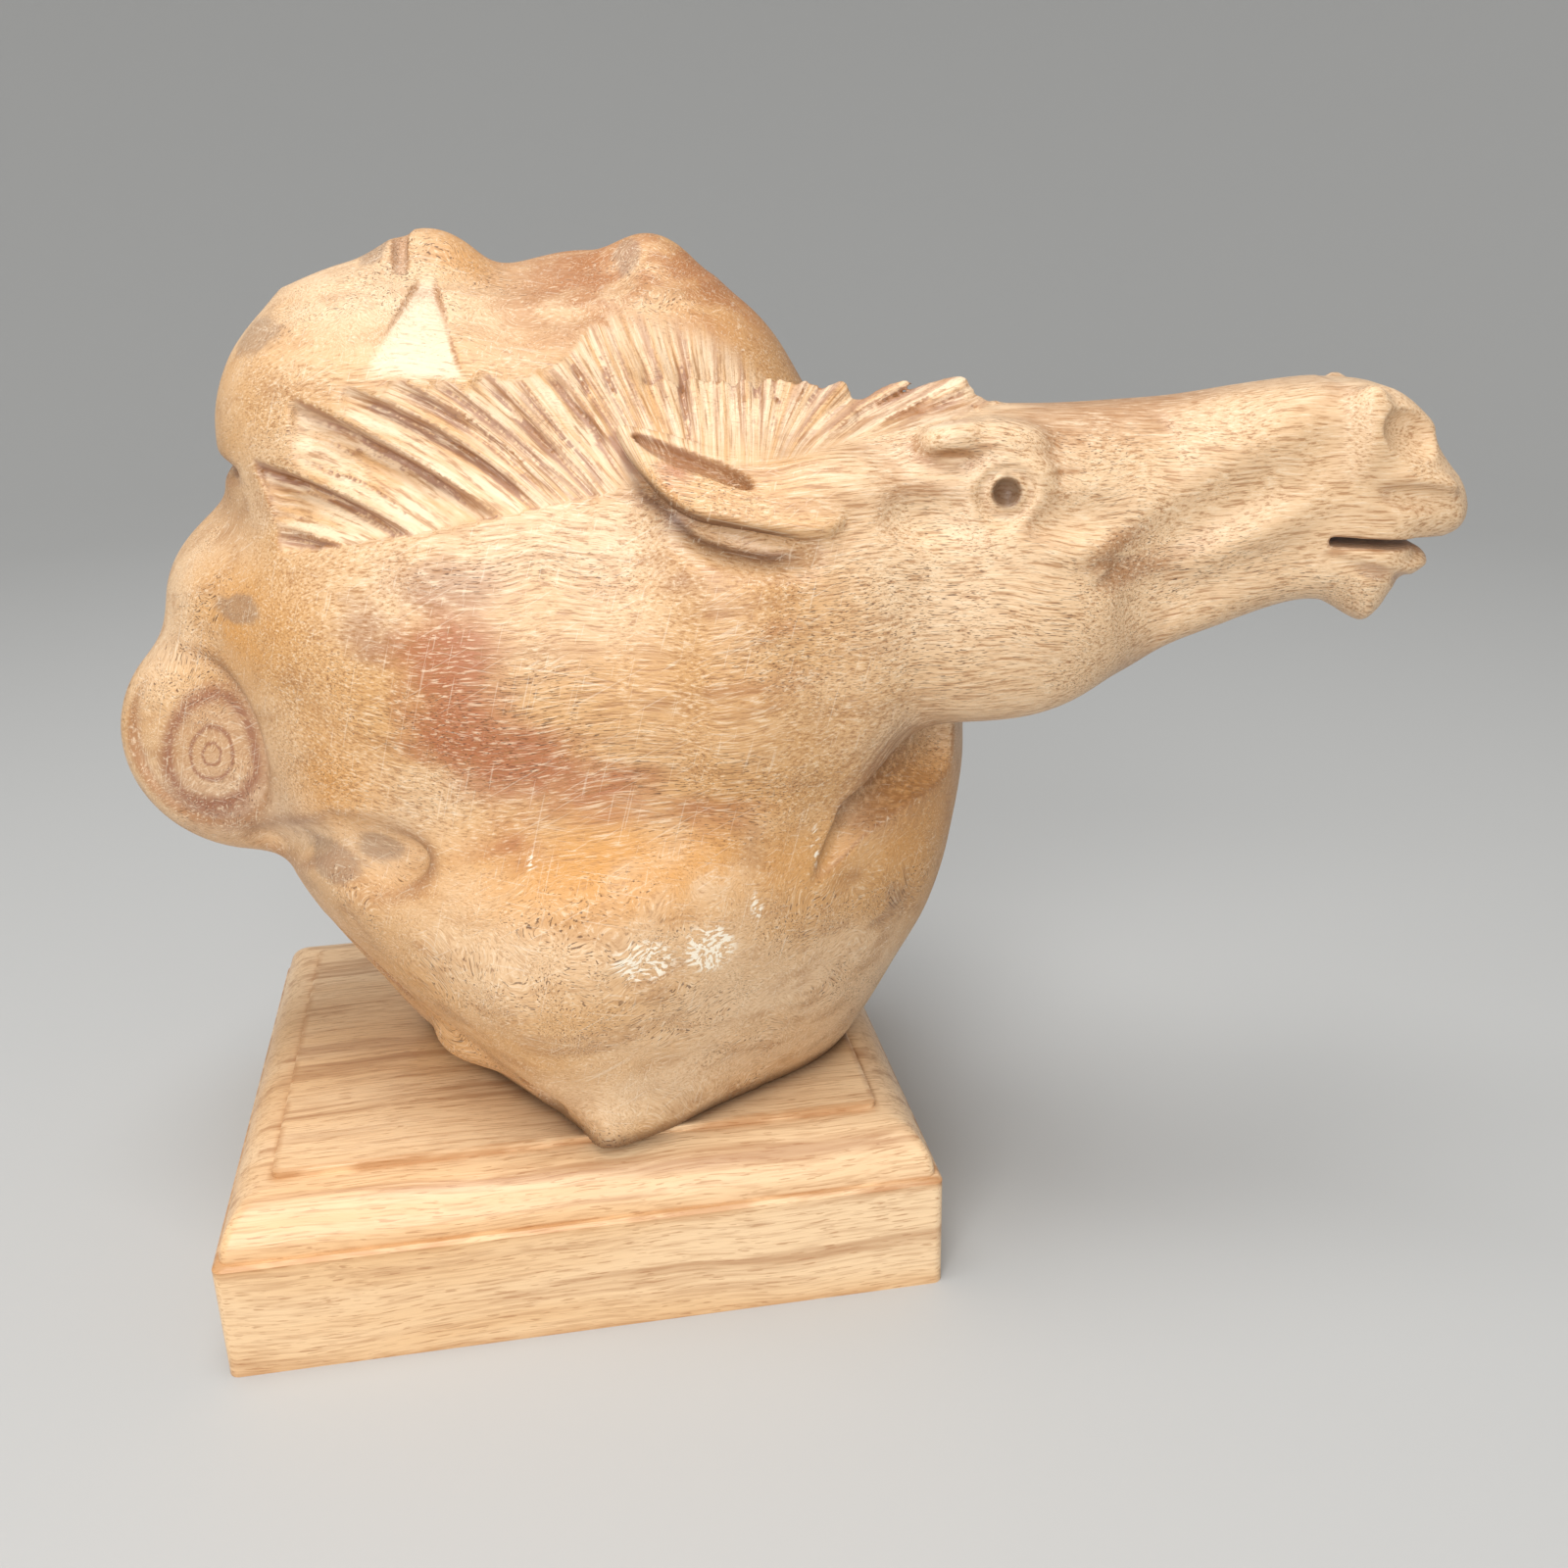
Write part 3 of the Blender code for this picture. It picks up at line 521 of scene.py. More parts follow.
# Knobs and lobes on the trunk, the neck's root and the tip it stands on. Each step gives what is
# done, the width of the fillet, the shape and its sizes in design millimetres.
BURL_WORK = (
    (join, 9, ball, (-21, 3, 132), (37, 34, 31.5)),
    (join, 5, ball, (-16, 3, 154.5), (12, 12, 13.5)),
    (join, 8, ball, (12, 14, 140), (24, 26, 23)),
    (join, 5, ball, (25, 10, 155), (10, 10, 11)),
    (join, 8, ball, (28, 9, 136), (24, 25, 22)),
    (join, 8, ball, (-46, 5, 97), (29, 30, 23)),
    (join, 7, ball, (-58, -6, 72), (27, 22, 25)),
    (join, 10, ball, (34, 38, 108), (30, 24, 26)),
    (join, 10, ball, (-22, 40, 84), (28, 22, 30)),
    (join, 9, ball, (44, 40, 58), (28, 24, 26)),
    (join, 9, ball, (2, 44, 34), (24, 16, 20)),
    (join, 16, ball, (2, -17, 92), (50, 34, 40)),
    (join, 10, ball, (40, -22, 92), (34, 32, 40)),
    (join, 4, prow, (-2, -58, -4), (46, -14, 20)),
    (join, 6, ball, (-13, -30, 14), (9, 6, 6)),
    (cut, 3, ball, (-40, -31, 31), (5, 7, 4)),
    (cut, 2, ball, (0, -42.5, 6), (5, 6, 6)),
    # Face of the cut branch, and the crease and hollow under it.
    (cut, 4.5, flat, (-64, -23.8, 75.5), (-0.34, -0.93, 0.04), 15),
    (cut, 4, rod, (-54, -24, 53), (-34, -44.5, 63.5), 3.4, 2.2),
    (cut, 4, rod, (-34, -44.5, 63.5), (-20, -53, 67.5), 2.2, 0.6),
    (cut, 6, ball, (-29, -48, 59.5), (13, 5, 5), (1, 0, 0.1)),
    # Notch between the lobes, crease of the top knob and the bright chisel flat.
    (cut, 2.5, ball, (-58, -14, 126), (7, 16, 1.6)),
    (cut, 1.5, rod, (-21, 8, 170), (-18.4, -10.5, 161.2), 1.6, 0.8),
    (cut, 1.0, facet, (-24, -32, 141), (-3, -8, 164), (-12.5, -23.3, 150.4), (0.14, -0.655, 0.742)),
    (cut, 5, ball, (45, -57, 71), (13, 3.4, 4.5), (1, 0, 0.15)),
    # Small dents of the belly and the right lobe.
    (cut, 4, ball, (27, -62.9, 41), (10, 4.2, 3), (1, 0, 0.2)),
    (cut, 5, ball, (-30, -26, 30), (5, 5, 12), (0.5, 0, 1)),
)


# What is the same on both sides of the head.
HEAD_WORK = (
    # Muzzle, lips and chin.
    (join, 2, muzzle, (112, -44, 90), (177, -12, 142)),
    (cut, 0.5, kerf, (144, -60, 108), (176, 0, 118), (147.2, 113.4), (168, 111.6), 0.85),
    (cut, 0.8, rod, (146.5, -41.5, 110.6), (159.5, -39.8, 106.4), 0.9, 1.3),
    (cut, 1.0, rod, (159.5, -39.8, 106.4), (163.5, -33, 104), 1.3, 1.3),
    (cut, 3, ball, (141.5, -43.5, 109.5), (5.5, 3.4, 5), (1, 0, -0.7)),
    (cut, 1, flat, (161, -41.2, 118), (0.38, -0.92, -0.1), 10),
    # Nostril, its rim and the dent behind it.
    (join, 2.5, ball, (152, -38, 132), (4, 3.4, 8)),
    (join, 2, ball, (160, -37.6, 123.6), (9, 3, 2.4), (1, 0, -0.2)),
    (cut, 3.5, ball, (144.5, -43.8, 131), (4.6, 3.2, 7.5)),
    (cut, 0.4, ball, (162.5, -42.5, 131.8), (9.6, 7.4, 5.4), (1, 0, -0.25)),
    (cut, 0.4, ball, (158.5, -39.5, 137.6), (4.4, 3.0, 2.0), (1, 0, -0.35)),
    (cut, 2, ball, (164, -40.8, 120.4), (9, 2.4, 1.8), (1, 0, -0.15)),
    # Cheek, its hollow in front, and the ridge under the eye.
    (join, 6, ball, (90, -38, 100), (21, 11.5, 17)),
    (cut, 5, ball, (120, -45.5, 105), (9, 5, 8), (1, 0, 0.4)),
    (cut, 4, ball, (131, -44.6, 108.5), (12, 3, 4.5), (1, 0, 0.5)),
    (join, 4, ball, (97, -42, 114.5), (16, 4, 3), (1, 0, -0.12)),
    (cut, 4, ball, (103, -46.5, 120), (9, 3, 2.8), (1, 0, 0.1)),
    # Flat planes of the nose, between shallow grooves.
    (join, 5, ball, (124, -36.0, 126.5), (18, 4, 2.6), (1, 0, 0.5)),
    (cut, 5, ball, (123, -44.6, 117.5), (15, 3, 2.4), (1, 0, 0.42)),
    (join, 4, ball, (132, -38.0, 115), (12, 3.2, 2.2), (1, 0, 0.48)),
    # Brow and temple.
    (join, 4, ball, (87, -40.2, 132.4), (8, 4, 3.2), (1, 0, -0.1)),
    (cut, 2, ball, (99.5, -46.4, 127.0), (5, 3.0, 0.9), (1, 0, 0.3)),
    (join, 3, ball, (79, -41.8, 133.4), (4.6, 3.6, 2.8), (1, 0, 0.2)),
    (cut, 1.0, ball, (79.4, -47.2, 130.4), (5, 3.6, 1.6), (1, 0, -0.1)),
    (cut, 4, ball, (76, -50, 121), (4.2, 5, 8), (0.2, 0, 1)),
    # Eye: socket, lids, disc and pupil.
    (cut, 2.5, ball, (88.5, -50.2, 124.4), (10, 4.6, 7), (1, 0, 0.35)),
    (join, 1.6, ball, (88.8, -42.6, 124.5), (8.6, 3.6, 6.6), (1, 0, 0.3)),
    (join, 1.4, ball, (84.2, -43.4, 121.4), (4.2, 2.4, 2.2), (1, 0, 1)),
    (cut, 0.3, ball, (88.6, -47.8, 124.4), (6.6, 4.3, 6.4)),
    (join, 0.3, ball, (88.6, -42.4, 124.4), (5.4, 3.2, 5.3)),
    (cut, 0.3, ball, (88.6, -46.4, 124.5), (2.7, 3.2, 2.7)),
    # Slit under the jaw.
    (cut, 0.4, rod, (82, -42.6, 85.6), (86.5, -41.6, 86.4), 0.3, 0.7),
)

# The near ear, laid back along the neck; the far one lies within the burl.
EAR_WORK = (
    (cut, 3, ball, (41, -52.5, 119.0), (15, 7, 4.8), (1, 0, -0.3)),
    (cut, 3, ball, (27, -43, 131), (6, 5, 7), (0.3, 0, 1)),
    (join, 0.7, ear, (18, -60, 112), (66, -26, 142)),
    (join, 6, ball, (56, -43.6, 124.5), (10, 4, 5), (1, 0, 0.15)),
    (cut, 0.4, ear_hollow, (20, -62, 118), (56, -30, 146)),
)


def both_sides(points):
    """Points folded over the head's midline, so that what is on one side is on the other."""
    folded = points.copy()
    folded[..., 1] = HEAD_MIDLINE - np.abs(points[..., 1] - HEAD_MIDLINE)
    return folded


def fan_place(x, z):
    """Where a point lies in the mane's fan: the groove's number, and the share of the way to its tip."""
    fan = np.array(FAN, float)
    run = fan[:, 2:4] - fan[:, 0:2]
    length = np.linalg.norm(run, axis=1)
    along = run / length[:, None]
    dx, dz = x[..., None] - fan[:, 0], z[..., None] - fan[:, 1]
    share = (dx * along[:, 0] + dz * along[:, 1]) / length
    beside = dx * along[:, 1] - dz * along[:, 0] - fan[:, 4] * np.clip(4 * share * (1 - share), 0, 1)
    last = len(fan) - 1
    number = np.clip((beside > 0).sum(axis=-1) - 1, 0, last - 1)
    here = np.take_along_axis(beside, number[..., None], -1)[..., 0]
    there = np.take_along_axis(beside, number[..., None] + 1, -1)[..., 0]
    part = np.clip(here / np.maximum(here - there, 1e-6), 0, 1)
    near = np.take_along_axis(share, number[..., None], -1)[..., 0]
    far = np.take_along_axis(share, number[..., None] + 1, -1)[..., 0]
    inside = (beside[..., 0] > 0) & (beside[..., last] < 0)
    return number, part, near + (far - near) * part, here - there, inside


def mane_place(x, z):
    """How far inside the mane's outline a place is, and where it lies in its lock."""
    number, part, share, width, inside = fan_place(x, z)
    short = np.array(FAN)[number + 1, 6]
    reach = short + (np.clip(short, 1, MANE_REACH) - short) * part**0.8
    within = (reach - share) * inside
    return number, part, share, width, within


def mane_depth(x, z):
    """How far the mane is cut into the wood at a place seen from the side."""
    number, part, share, width, within = mane_place(x, z)
    deep = np.minimum(np.array(FAN)[number + 1, 5], LOCK_STEEPEST * width)
    low = LOCK_LOW + CREST_LOCK_LOW * (number > CREST_FROM)
    wall = np.clip(1 - LOCK_WALL / np.maximum(width, 1), *LOCK_WALL_SHARES)
    rising = np.clip(part / wall, 0, 1) ** LOCK_BOW
    falling = step_up(1 - part, 0, 1 - wall)
    lock = deep * (low + (1 - low) * np.minimum(rising, falling))
    # The strands of a lock wander and are cut unevenly deep.
    count = np.maximum(1, np.round(width / STRAND_WIDTH))
    waver = 0.3 * np.sin(5 * share + 2.4 * number) + 0.12 * np.sin(17 * share + number)
    place = count * part + waver * (count > 1)
    strand = np.abs(np.sin(np.pi * place))
    uneven = 0.55 + 0.45 * np.sin(3.1 * np.round(place) + 1.7 * number)
    fine = STRAND_DEPTH * uneven * (1 - strand**STRAND_BOW) * (count > 1)
    # The cuts run out at their roots and at the mane's edge.
    rooted = step_up(share, -0.08 - 0.06 * np.sin(2.6 * place), 0.45)
    edge = 0.3 * step_up(within, 0, 0.03) + 0.7 * step_up(within, 0, 0.2)
    return (lock + fine) * rooted * edge * np.where(number == 0, part, 1)


def with_mane(points, field):
    """The field with the mane cut into its near side."""
    x, y, z = points[..., 0], points[..., 1], points[..., 2]
    near = (x > MANE_ALONG[0]) & (x < MANE_ALONG[1]) & (z > MANE_UP[0]) & (z < MANE_UP[1])
    near &= (y < MANE_SIDE[1]) & (np.abs(field) < MANE_BAND)
    depth = np.zeros(field.shape)
    depth[near] = mane_depth(x[near], z[near]) * (1 - step_up(y[near], *MANE_SIDE))
    return field + depth


def crest(points):
    """Distance to the mane's crest, a wedge with a thin flat edge."""
    x, y, z = points[..., 0], points[..., 1], points[..., 2]
    under = smooth_row(x, CREST, 1) - z
    side = np.abs(y - CREST_MIDDLE) - CREST_EDGE - CREST_SPREAD * np.clip(under, 0, CREST_FOOT)
    ends = np.maximum(CREST[0][0] - x, x - CREST[-1][0])
    wedge = np.maximum(side * CREST_LEAN, -under)
    return np.maximum(wedge, np.maximum(under - CREST_SUNK * CREST_FOOT, ends))


# The crease of the throat, under the neck's lower edge.
THROAT_WORK = (
    (cut, 1.2, rod, (82, -26, 73), (71.5, -35, 70.5), 8.0, 6.5),
    (cut, 1.2, rod, (71.5, -35, 70.5), (62.8, -42, 65), 6.5, 4.4),
    (cut, 1.2, rod, (62.8, -42, 65), (55.5, -47.5, 54), 4.4, 1.0),
)


def carving_field(points):
    """Distance to the carving: less than nothing inside the wood."""
    burl = worked(points, trunk_field(points), BURL_WORK)
    head = worked(both_sides(points), loft(points, HEAD, HEAD_MIDLINE, HEAD_SQUARENESS), HEAD_WORK)
    fillet = NECK_FILLET - NECK_FILLET_LOSS * step_up(points[..., 0], *NECK_FILLET_ALONG)
    field = join(burl, head, fillet)
    field = worked(points, field, THROAT_WORK)
    field = join(field, crest(points), CREST_FILLET)
    field = with_mane(points, field)
    field = worked(points, field, EAR_WORK)
    return np.maximum(field, -points[..., 2])


def drawn_out(field, cell):
    """The surface of a field as points and four-sided faces, in design millimetres."""
    wide = cell * BLOCK
    counts = np.ceil((DESIGN_HIGH - DESIGN_LOW) / wide).astype(int)
    axes = [DESIGN_LOW[i] + wide * (np.arange(counts[i]) + 0.5) for i in range(3)]
    middles = np.stack(np.meshgrid(*axes, indexing="ij"), axis=-1)
    rough = field(middles)
    near = np.abs(rough) < wide * BAND_BLOCKS + BAND
    values = np.sign(rough) * wide
    for i in range(3):
        values = np.repeat(values, BLOCK, axis=i)
        near = np.repeat(near, BLOCK, axis=i)
    values[near] = field(DESIGN_LOW + (np.argwhere(near) + 0.5) * cell)
    grid = openvdb.FloatGrid(float(wide))
    grid.copyFromArray(np.ascontiguousarray(values.astype(np.float32)))
    points, quads = grid.convertToQuads(0.0)
    return DESIGN_LOW + (points.astype(float) + 0.5) * cell, quads


def slopes(field, points):
    """Direction in which a field grows fastest at some points."""
    steps = SLOPE_STEP * np.eye(3)
    growth = np.stack([field(points + step) - field(points - step) for step in steps], axis=-1)
    return growth / (np.linalg.norm(growth, axis=-1, keepdims=True) + 1e-9)


class CarvingSettings(bpy.types.PropertyGroup):
    """Fineness of the carving's mesh and colours of its wood."""

    cell: bpy.props.FloatProperty(
        name="Cell",
        description="Edge of the cells that the carving is drawn out of, in design millimetres",
        default=0.65,
        min=0.4,
    )
    triangles: bpy.props.IntProperty(
        name="Triangles", description="Most triangles in the carving", default=190000
    )
    tan: bpy.props.FloatVectorProperty(
        name="Tan", description="Honey-tan wood of the head", subtype="COLOR", default=(0.60, 0.33, 0.13)
    )
    cream: bpy.props.FloatVectorProperty(
        name="Cream", description="Paler wood of the head", subtype="COLOR", default=(0.73, 0.51, 0.31)
    )
    # Pale also paints the chisel face under the top knob: paler cut wood with a painted highlight.
    pale: bpy.props.FloatVectorProperty(
        name="Pale", description="Palest fibres and cut faces", subtype="COLOR", default=(0.82, 0.64, 0.44)
    )
    gold: bpy.props.FloatVectorProperty(
        name="Gold", description="Golden wood of the belly", subtype="COLOR", default=(0.64, 0.29, 0.06)
    )
    heart: bpy.props.FloatVectorProperty(
        name="Heart", description="Red-brown heartwood", subtype="COLOR", default=(0.36, 0.10, 0.03)
    )
    # Mauve is also the painted shade in hollows, and the mane's groove walls, part grey stain and part
    # painted shade.
    mauve: bpy.props.FloatVectorProperty(
        name="Mauve", description="Greyed wood in the grooves", subtype="COLOR", default=(0.33, 0.17, 0.11)
    )
    # Brown is also the painted shade in creases, in the ear's hollow, in the small creases of the head and on
    # the throat.
    brown: bpy.props.FloatVectorProperty(
        name="Brown", description="Darker fibres", subtype="COLOR", default=(0.34, 0.15, 0.05)
    )
    smoke: bpy.props.FloatVectorProperty(
        name="Smoke", description="Grey stains", subtype="COLOR", default=(0.28, 0.18, 0.12)
    )
    bark: bpy.props.FloatVectorProperty(
        name="Bark", description="Mottling of the upper lobes", subtype="COLOR", default=(0.38, 0.14, 0.04)
    )
    knot: bpy.props.FloatVectorProperty(
        name="Knot", description="Rings of the cut branch", subtype="COLOR", default=(0.26, 0.09, 0.045)
    )
    # Pore is also the painted shade in the pupil's hole and along the carving's foot.
    pore: bpy.props.FloatVectorProperty(
        name="Pore", description="Dark pores", subtype="COLOR", default=(0.10, 0.04, 0.015)
    )
    # Dark is the painted shadow on the undercut wall under the ear.
    dark: bpy.props.FloatVectorProperty(
        name="Dark", description="Painted shadow under the ear", subtype="COLOR", default=(0.13, 0.05, 0.02)
    )
    chip: bpy.props.FloatVectorProperty(
        name="Chip", description="Bare wood of chips and cuts", subtype="COLOR", default=(0.88, 0.78, 0.62)
    )


class PlinthSettings(bpy.types.PropertyGroup):
    """Profile of the plinth's moulding and colours of its wood."""

    corner: bpy.props.FloatProperty(
        name="Corner", description="Radius of the upright edges", unit="LENGTH", default=2.0 * MM
    )
    ease: bpy.props.FloatProperty(
        name="Ease", description="How far the edges are broken", unit="LENGTH", default=0.6 * MM
    )
    moulding_drop: bpy.props.FloatProperty(
        name="Moulding drop", description="Height of the whole moulding", unit="LENGTH", default=10.5 * MM
    )
    moulding_step: bpy.props.FloatProperty(
        name="Step", description="Rise of the raised top panel", unit="LENGTH", default=1.5 * MM
    )
    shelf: bpy.props.FloatProperty(
        name="Shelf", description="Flat between quarter round and top panel", unit="LENGTH", default=1.2 * MM
    )
    ledge: bpy.props.FloatProperty(
        name="Ledge", description="Flat under the quarter round", unit="LENGTH", default=1.2 * MM
    )
    side_inset: bpy.props.FloatProperty(
        name="Side inset", description="From the end to the top panel", unit="LENGTH", default=10.5 * MM
    )
    front_inset: bpy.props.FloatProperty(
        name="Front inset", description="From the front to the top panel", unit="LENGTH", default=14.5 * MM
    )
    facets: bpy.props.IntProperty(
        name="Facets", description="Facets of the quarter round", default=20
    )
    tan: bpy.props.FloatVectorProperty(
        name="Tan", description="Light wood of the plinth", subtype="COLOR", default=(0.74, 0.47, 0.24)
    )
    pale: bpy.props.FloatVectorProperty(
        name="Pale", description="Paler bands of the plinth", subtype="COLOR", default=(0.84, 0.60, 0.36)
    )
    grain: bpy.props.FloatVectorProperty(
        name="Grain", description="Darker grain lines", subtype="COLOR", default=(0.36, 0.15, 0.05)
    )
    worn: bpy.props.FloatVectorProperty(
        name="Worn", description="Dark varnish along the edges", subtype="COLOR", default=(0.42, 0.17, 0.045)
    )
    # Colour of the painted shade on the plinth's top round the carving's foot.
    foot_shade_colour: bpy.props.FloatVectorProperty(
        name="Painted foot shade", description="Dirt gathered round the foot", subtype="COLOR", default=(0.16, 0.07, 0.03)
    )


class StageSettings(bpy.types.PropertyGroup):
    """Place of the camera, and the floor."""

    eye: bpy.props.FloatVectorProperty(
        name="Camera",
        description="Place of the camera",
        unit="LENGTH",
        default=(-2.74 * MM, -315.6 * MM, 210.1 * MM),
    )
    yaw: bpy.props.FloatProperty(
        name="Yaw", description="Turn of the camera towards +X", unit="ROTATION", default=math.radians(9.5)
    )
    pitch: bpy.props.FloatProperty(
        name="Pitch", description="How far it looks down", unit="ROTATION", default=math.radians(21.03)
    )
    roll: bpy.props.FloatProperty(
        name="Roll", description="Tilt of the picture", unit="ROTATION", default=math.radians(-1.36)
    )
    floor: bpy.props.FloatVectorProperty(
        name="Floor", description="Colour of the floor", subtype="COLOR", default=(0.48, 0.48, 0.47)
    )
    reach: bpy.props.FloatProperty(
        name="Reach", description="How far the floor runs before it rises", unit="LENGTH", default=0.8
    )


def put(name, mesh, node):
    """Shows a finished mesh in place of a node of the solid."""
    piece = bpy.data.objects.new(name, mesh)
    bpy.context.scene.collection.objects.link(piece)
    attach(piece, "root")
    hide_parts(node)


def store(mesh, name, values):
    """Keeps one number for each point of a mesh, for its material to read."""
    mesh.attributes.new(name, "FLOAT", "POINT").data.foreach_set("value", np.asarray(values, np.float32))


def blob(points, centre, radii):
    """1 at a centre, falling smoothly to near nothing past the radii."""
    away = (points - np.array(centre, float)) / np.array(radii, float)
    return np.exp(-2.0 * (away**2).sum(axis=-1))


def corners(mesh):
    """Where a mesh's points are."""
    places = np.empty(len(mesh.vertices) * 3, np.float32)
    mesh.vertices.foreach_get("co", places)
    return places.reshape(-1, 3).astype(float)


def fit(mesh, box):
    """Draws a mesh in by the few hundredths of a millimetre that it stands out of a box."""
    places = corners(mesh)
    low, high = places.min(axis=0), places.max(axis=0)
    inner_low, inner_high = np.maximum(low, box[0]), np.minimum(high, box[1])
    places = inner_low + (places - low) * (inner_high - inner_low) / (high - low)
    mesh.vertices.foreach_set("co", places.astype(np.float32).ravel())
    mesh.update()


def near_ear(points):
    """Whether a place is in the ear or close to it."""
    along, across, above = ear_frame(points)
    return (along > -1) & (along < 48) & (np.abs(across) < 14) & (np.abs(above) < 12)


def fewer_faces(points, quads, triangles):
    """The surface with its mane softened, in no more than that many triangles, flat parts given up first."""
    mesh = bpy.data.meshes.new("carving")
    mesh.from_pydata(points.tolist(), [], quads.tolist())
    mesh.validate()
    draft = bpy.data.objects.new("draft", mesh)
    bpy.context.scene.collection.objects.link(draft)
    mane = (points[:, 0] < MANE_FRONT) & (points[:, 1] < MANE_SIDE[1]) & (points[:, 2] > MANE_UP[0])
    group = draft.vertex_groups.new(name="softened")
    group.add(np.flatnonzero(mane & ~near_ear(points)).tolist(), 1.0, "REPLACE")
    soft = draft.modifiers.new("soft", "SMOOTH")
    soft.factor = 0.5
    soft.iterations = 2
    soft.vertex_group = group.name
    fewer = draft.modifiers.new("fewer faces", "DECIMATE")
    fewer.ratio = min(1.0, triangles / (2 * len(quads)))
    with bpy.context.temp_override(object=draft, active_object=draft):
        bpy.ops.object.modifier_apply(modifier=soft.name)
        bpy.ops.object.modifier_apply(modifier=fewer.name)
    mesh = draft.data
    bpy.data.objects.remove(draft)
    return mesh


# Where the wood changes colour: centre and radii of each patch, and its strength.
HEART_PATCHES = (
    ((-8, -50, 99), (16, 30, 15), 1.0),
    ((-7, -52, 88), (17, 30, 15), 1.1),
    ((2, -54, 80), (22, 30, 13), 1.0),
    ((16, -54, 75), (24, 30, 11), 0.8),
    ((0, -52, 66), (15, 30, 11), 0.6),
    ((36, -54, 71), (24, 30, 8), 0.6),
    ((48, -52, 95), (24, 24, 9), 0.45),
    ((49, -52, 105), (15, 24, 5), 0.5),
    ((32, -40, 129), (6, 24, 6), 0.9),
)
MAUVE_PATCHES = (
    ((-8, -50, 111), (19, 30, 9), 1.0),
    ((-22, -46, 103), (11, 24, 10), 0.8),
    ((44, -14, 147), (13, 18, 9), 0.9),
    ((66, -40, 68), (16, 14, 15), 0.8),
    ((-60, -22, 60), (17, 20, 9), 0.9),
    ((34, -50, 112), (14, 24, 6), 0.6),
)
GOLD_PATCHES = (
    ((20, -52, 60), (52, 34, 16), 1.0),
    ((-32, -38, 74), (16, 26, 16), 0.9),
    ((74, -26, 56), (16, 26, 18), 0.8),
    ((-50, -22, 100), (20, 30, 13), 0.8),
    ((-6, -8, 164), (9, 20, 9), 0.8),
    ((44, -2, 158), (18, 30, 10), 0.7),
)
GREY_PATCHES = (
    ((-35, -36, 57), (11, 16, 6), 1.0),
    ((-26, -44, 61), (9, 16, 5), 0.9),
    ((-50, -28, 103), (10, 16, 4), 1.0),
    ((-44, -10, 150), (12, 14, 7), 0.8),
    ((-22, -30, 30), (8, 14, 10), 0.7),
    ((72, -38, 42), (12, 16, 16), 0.6),
    ((22, 0, 163), (4, 12, 6), 1.2),
    ((-25, -2, 165), (4, 12, 5), 1.2),
    ((-62, -4, 88), (8, 20, 8), 0.6),
)
# Chips that lay bare pale wood.
CHIPS = (
    ((23, -58, 43), (8, 10, 6), 1.0),
    ((35, -55, 44), (7, 10, 7), 1.0),
    ((4, -55, 62), (2, 10, 5), 0.5),
    ((55, -47, 61), (1.6, 10, 8), 0.6),
    ((44, -51, 51), (2, 10, 6), 0.6),
)
# Small dark marks: painted shade in the creases round the brow, eye and mouth corner, and dark knots low on
# the burl.
CREASE_SHADE_AND_KNOTS = (
    ((79.5, -46, 131.0), (6, 7, 1.4), 1.3),
    ((85.0, -45, 132.2), (4, 7, 0.9), 0.8),
    ((99.5, -44, 127.3), (6, 7, 0.8), 0.9),
    ((96.5, -44, 124.0), (3, 7, 0.8), 0.6),
    ((80.5, -45, 120.0), (3, 7, 1.0), 0.5),
    ((147.5, -41, 111.5), (4, 6, 1.2), 0.8),
    ((52.5, -50, 38.0), (1.8, 8, 1.8), 1.2),
    ((62.5, -44, 52.0), (3.5, 10, 3), 0.6),
)
# Painted shadow of the head on the throat, broken into chisel streaks.
THROAT_SHADOW_AND_CUTS = ((73, -37, 73), (20, 20, 17))
CHEEK = ((76, -44, 104), (24, 20, 24))
# The pupil's hole, painted in shade.
PUPIL = (88.6, -45.5, 124.4)
PUPIL_RADII = (2.2, 3.2)
KNOT = (-62.2, -26.8, 73.8)
KNOT_AXIS = (-0.30, -0.94, 0.14)
KNOT_RINGS_TURN = (0.82, 0.57)
KNOT_DEPTH = 14
BEYOND_KNOT = 60.0


def patches(points, spots):
    """1 inside some soft patches, 0 away from them."""
    total = np.zeros(len(points))
    for centre, radii, strength in spots:
        total = np.maximum(total, strength * blob(points, centre, radii))
    return total


def knot_radius(points):
    """Distance from the axis of the cut branch, stretched as its egg-shaped rings are."""
    axis = np.array(KNOT_AXIS) / np.linalg.norm(KNOT_AXIS)
    right = np.cross((0, 0, 1), axis)
    right = right / np.linalg.norm(right)
    away = points - np.array(KNOT)
    across, rise = away @ right, away @ np.cross(axis, right)
    cosine, sine = KNOT_RINGS_TURN
    turned, lifted = cosine * across - sine * rise, sine * across + cosine * rise
    radius = np.hypot(turned * 1.18, lifted * (0.92 + 0.1 * np.tanh(turned / 6)))
    return np.where(away @ axis > -KNOT_DEPTH, radius, BEYOND_KNOT)


def paint_mane(mesh, points, front):
    """Keeps where the mane lies, where its grooves are and how its locks run."""
    x, z = points[:, 0], points[:, 2]
    number, part, share, _, within = mane_place(x, z)
    fan = np.array(FAN)
    mane = step_up(share, -0.2, 0.2) * step_up(within, 0, 0.05) * front * (z > 100)
    # Walls under each next lock, darkened later: part grey stain, part painted shade.
    walls = np.clip(fan[number + 1, 5] / 2, 0, 1) * step_up(part, 0.62, 0.86) * step_up(share, 0, 0.3)
    length = np.hypot(fan[number, 2] - fan[number, 0], fan[number, 3] - fan[number, 1])
    store(mesh, "mane", mane)
    store(mesh, "groove", mane * walls)
    store(mesh, "lock along", share * length)
    store(mesh, "lock across", 4.0 * (number + part))


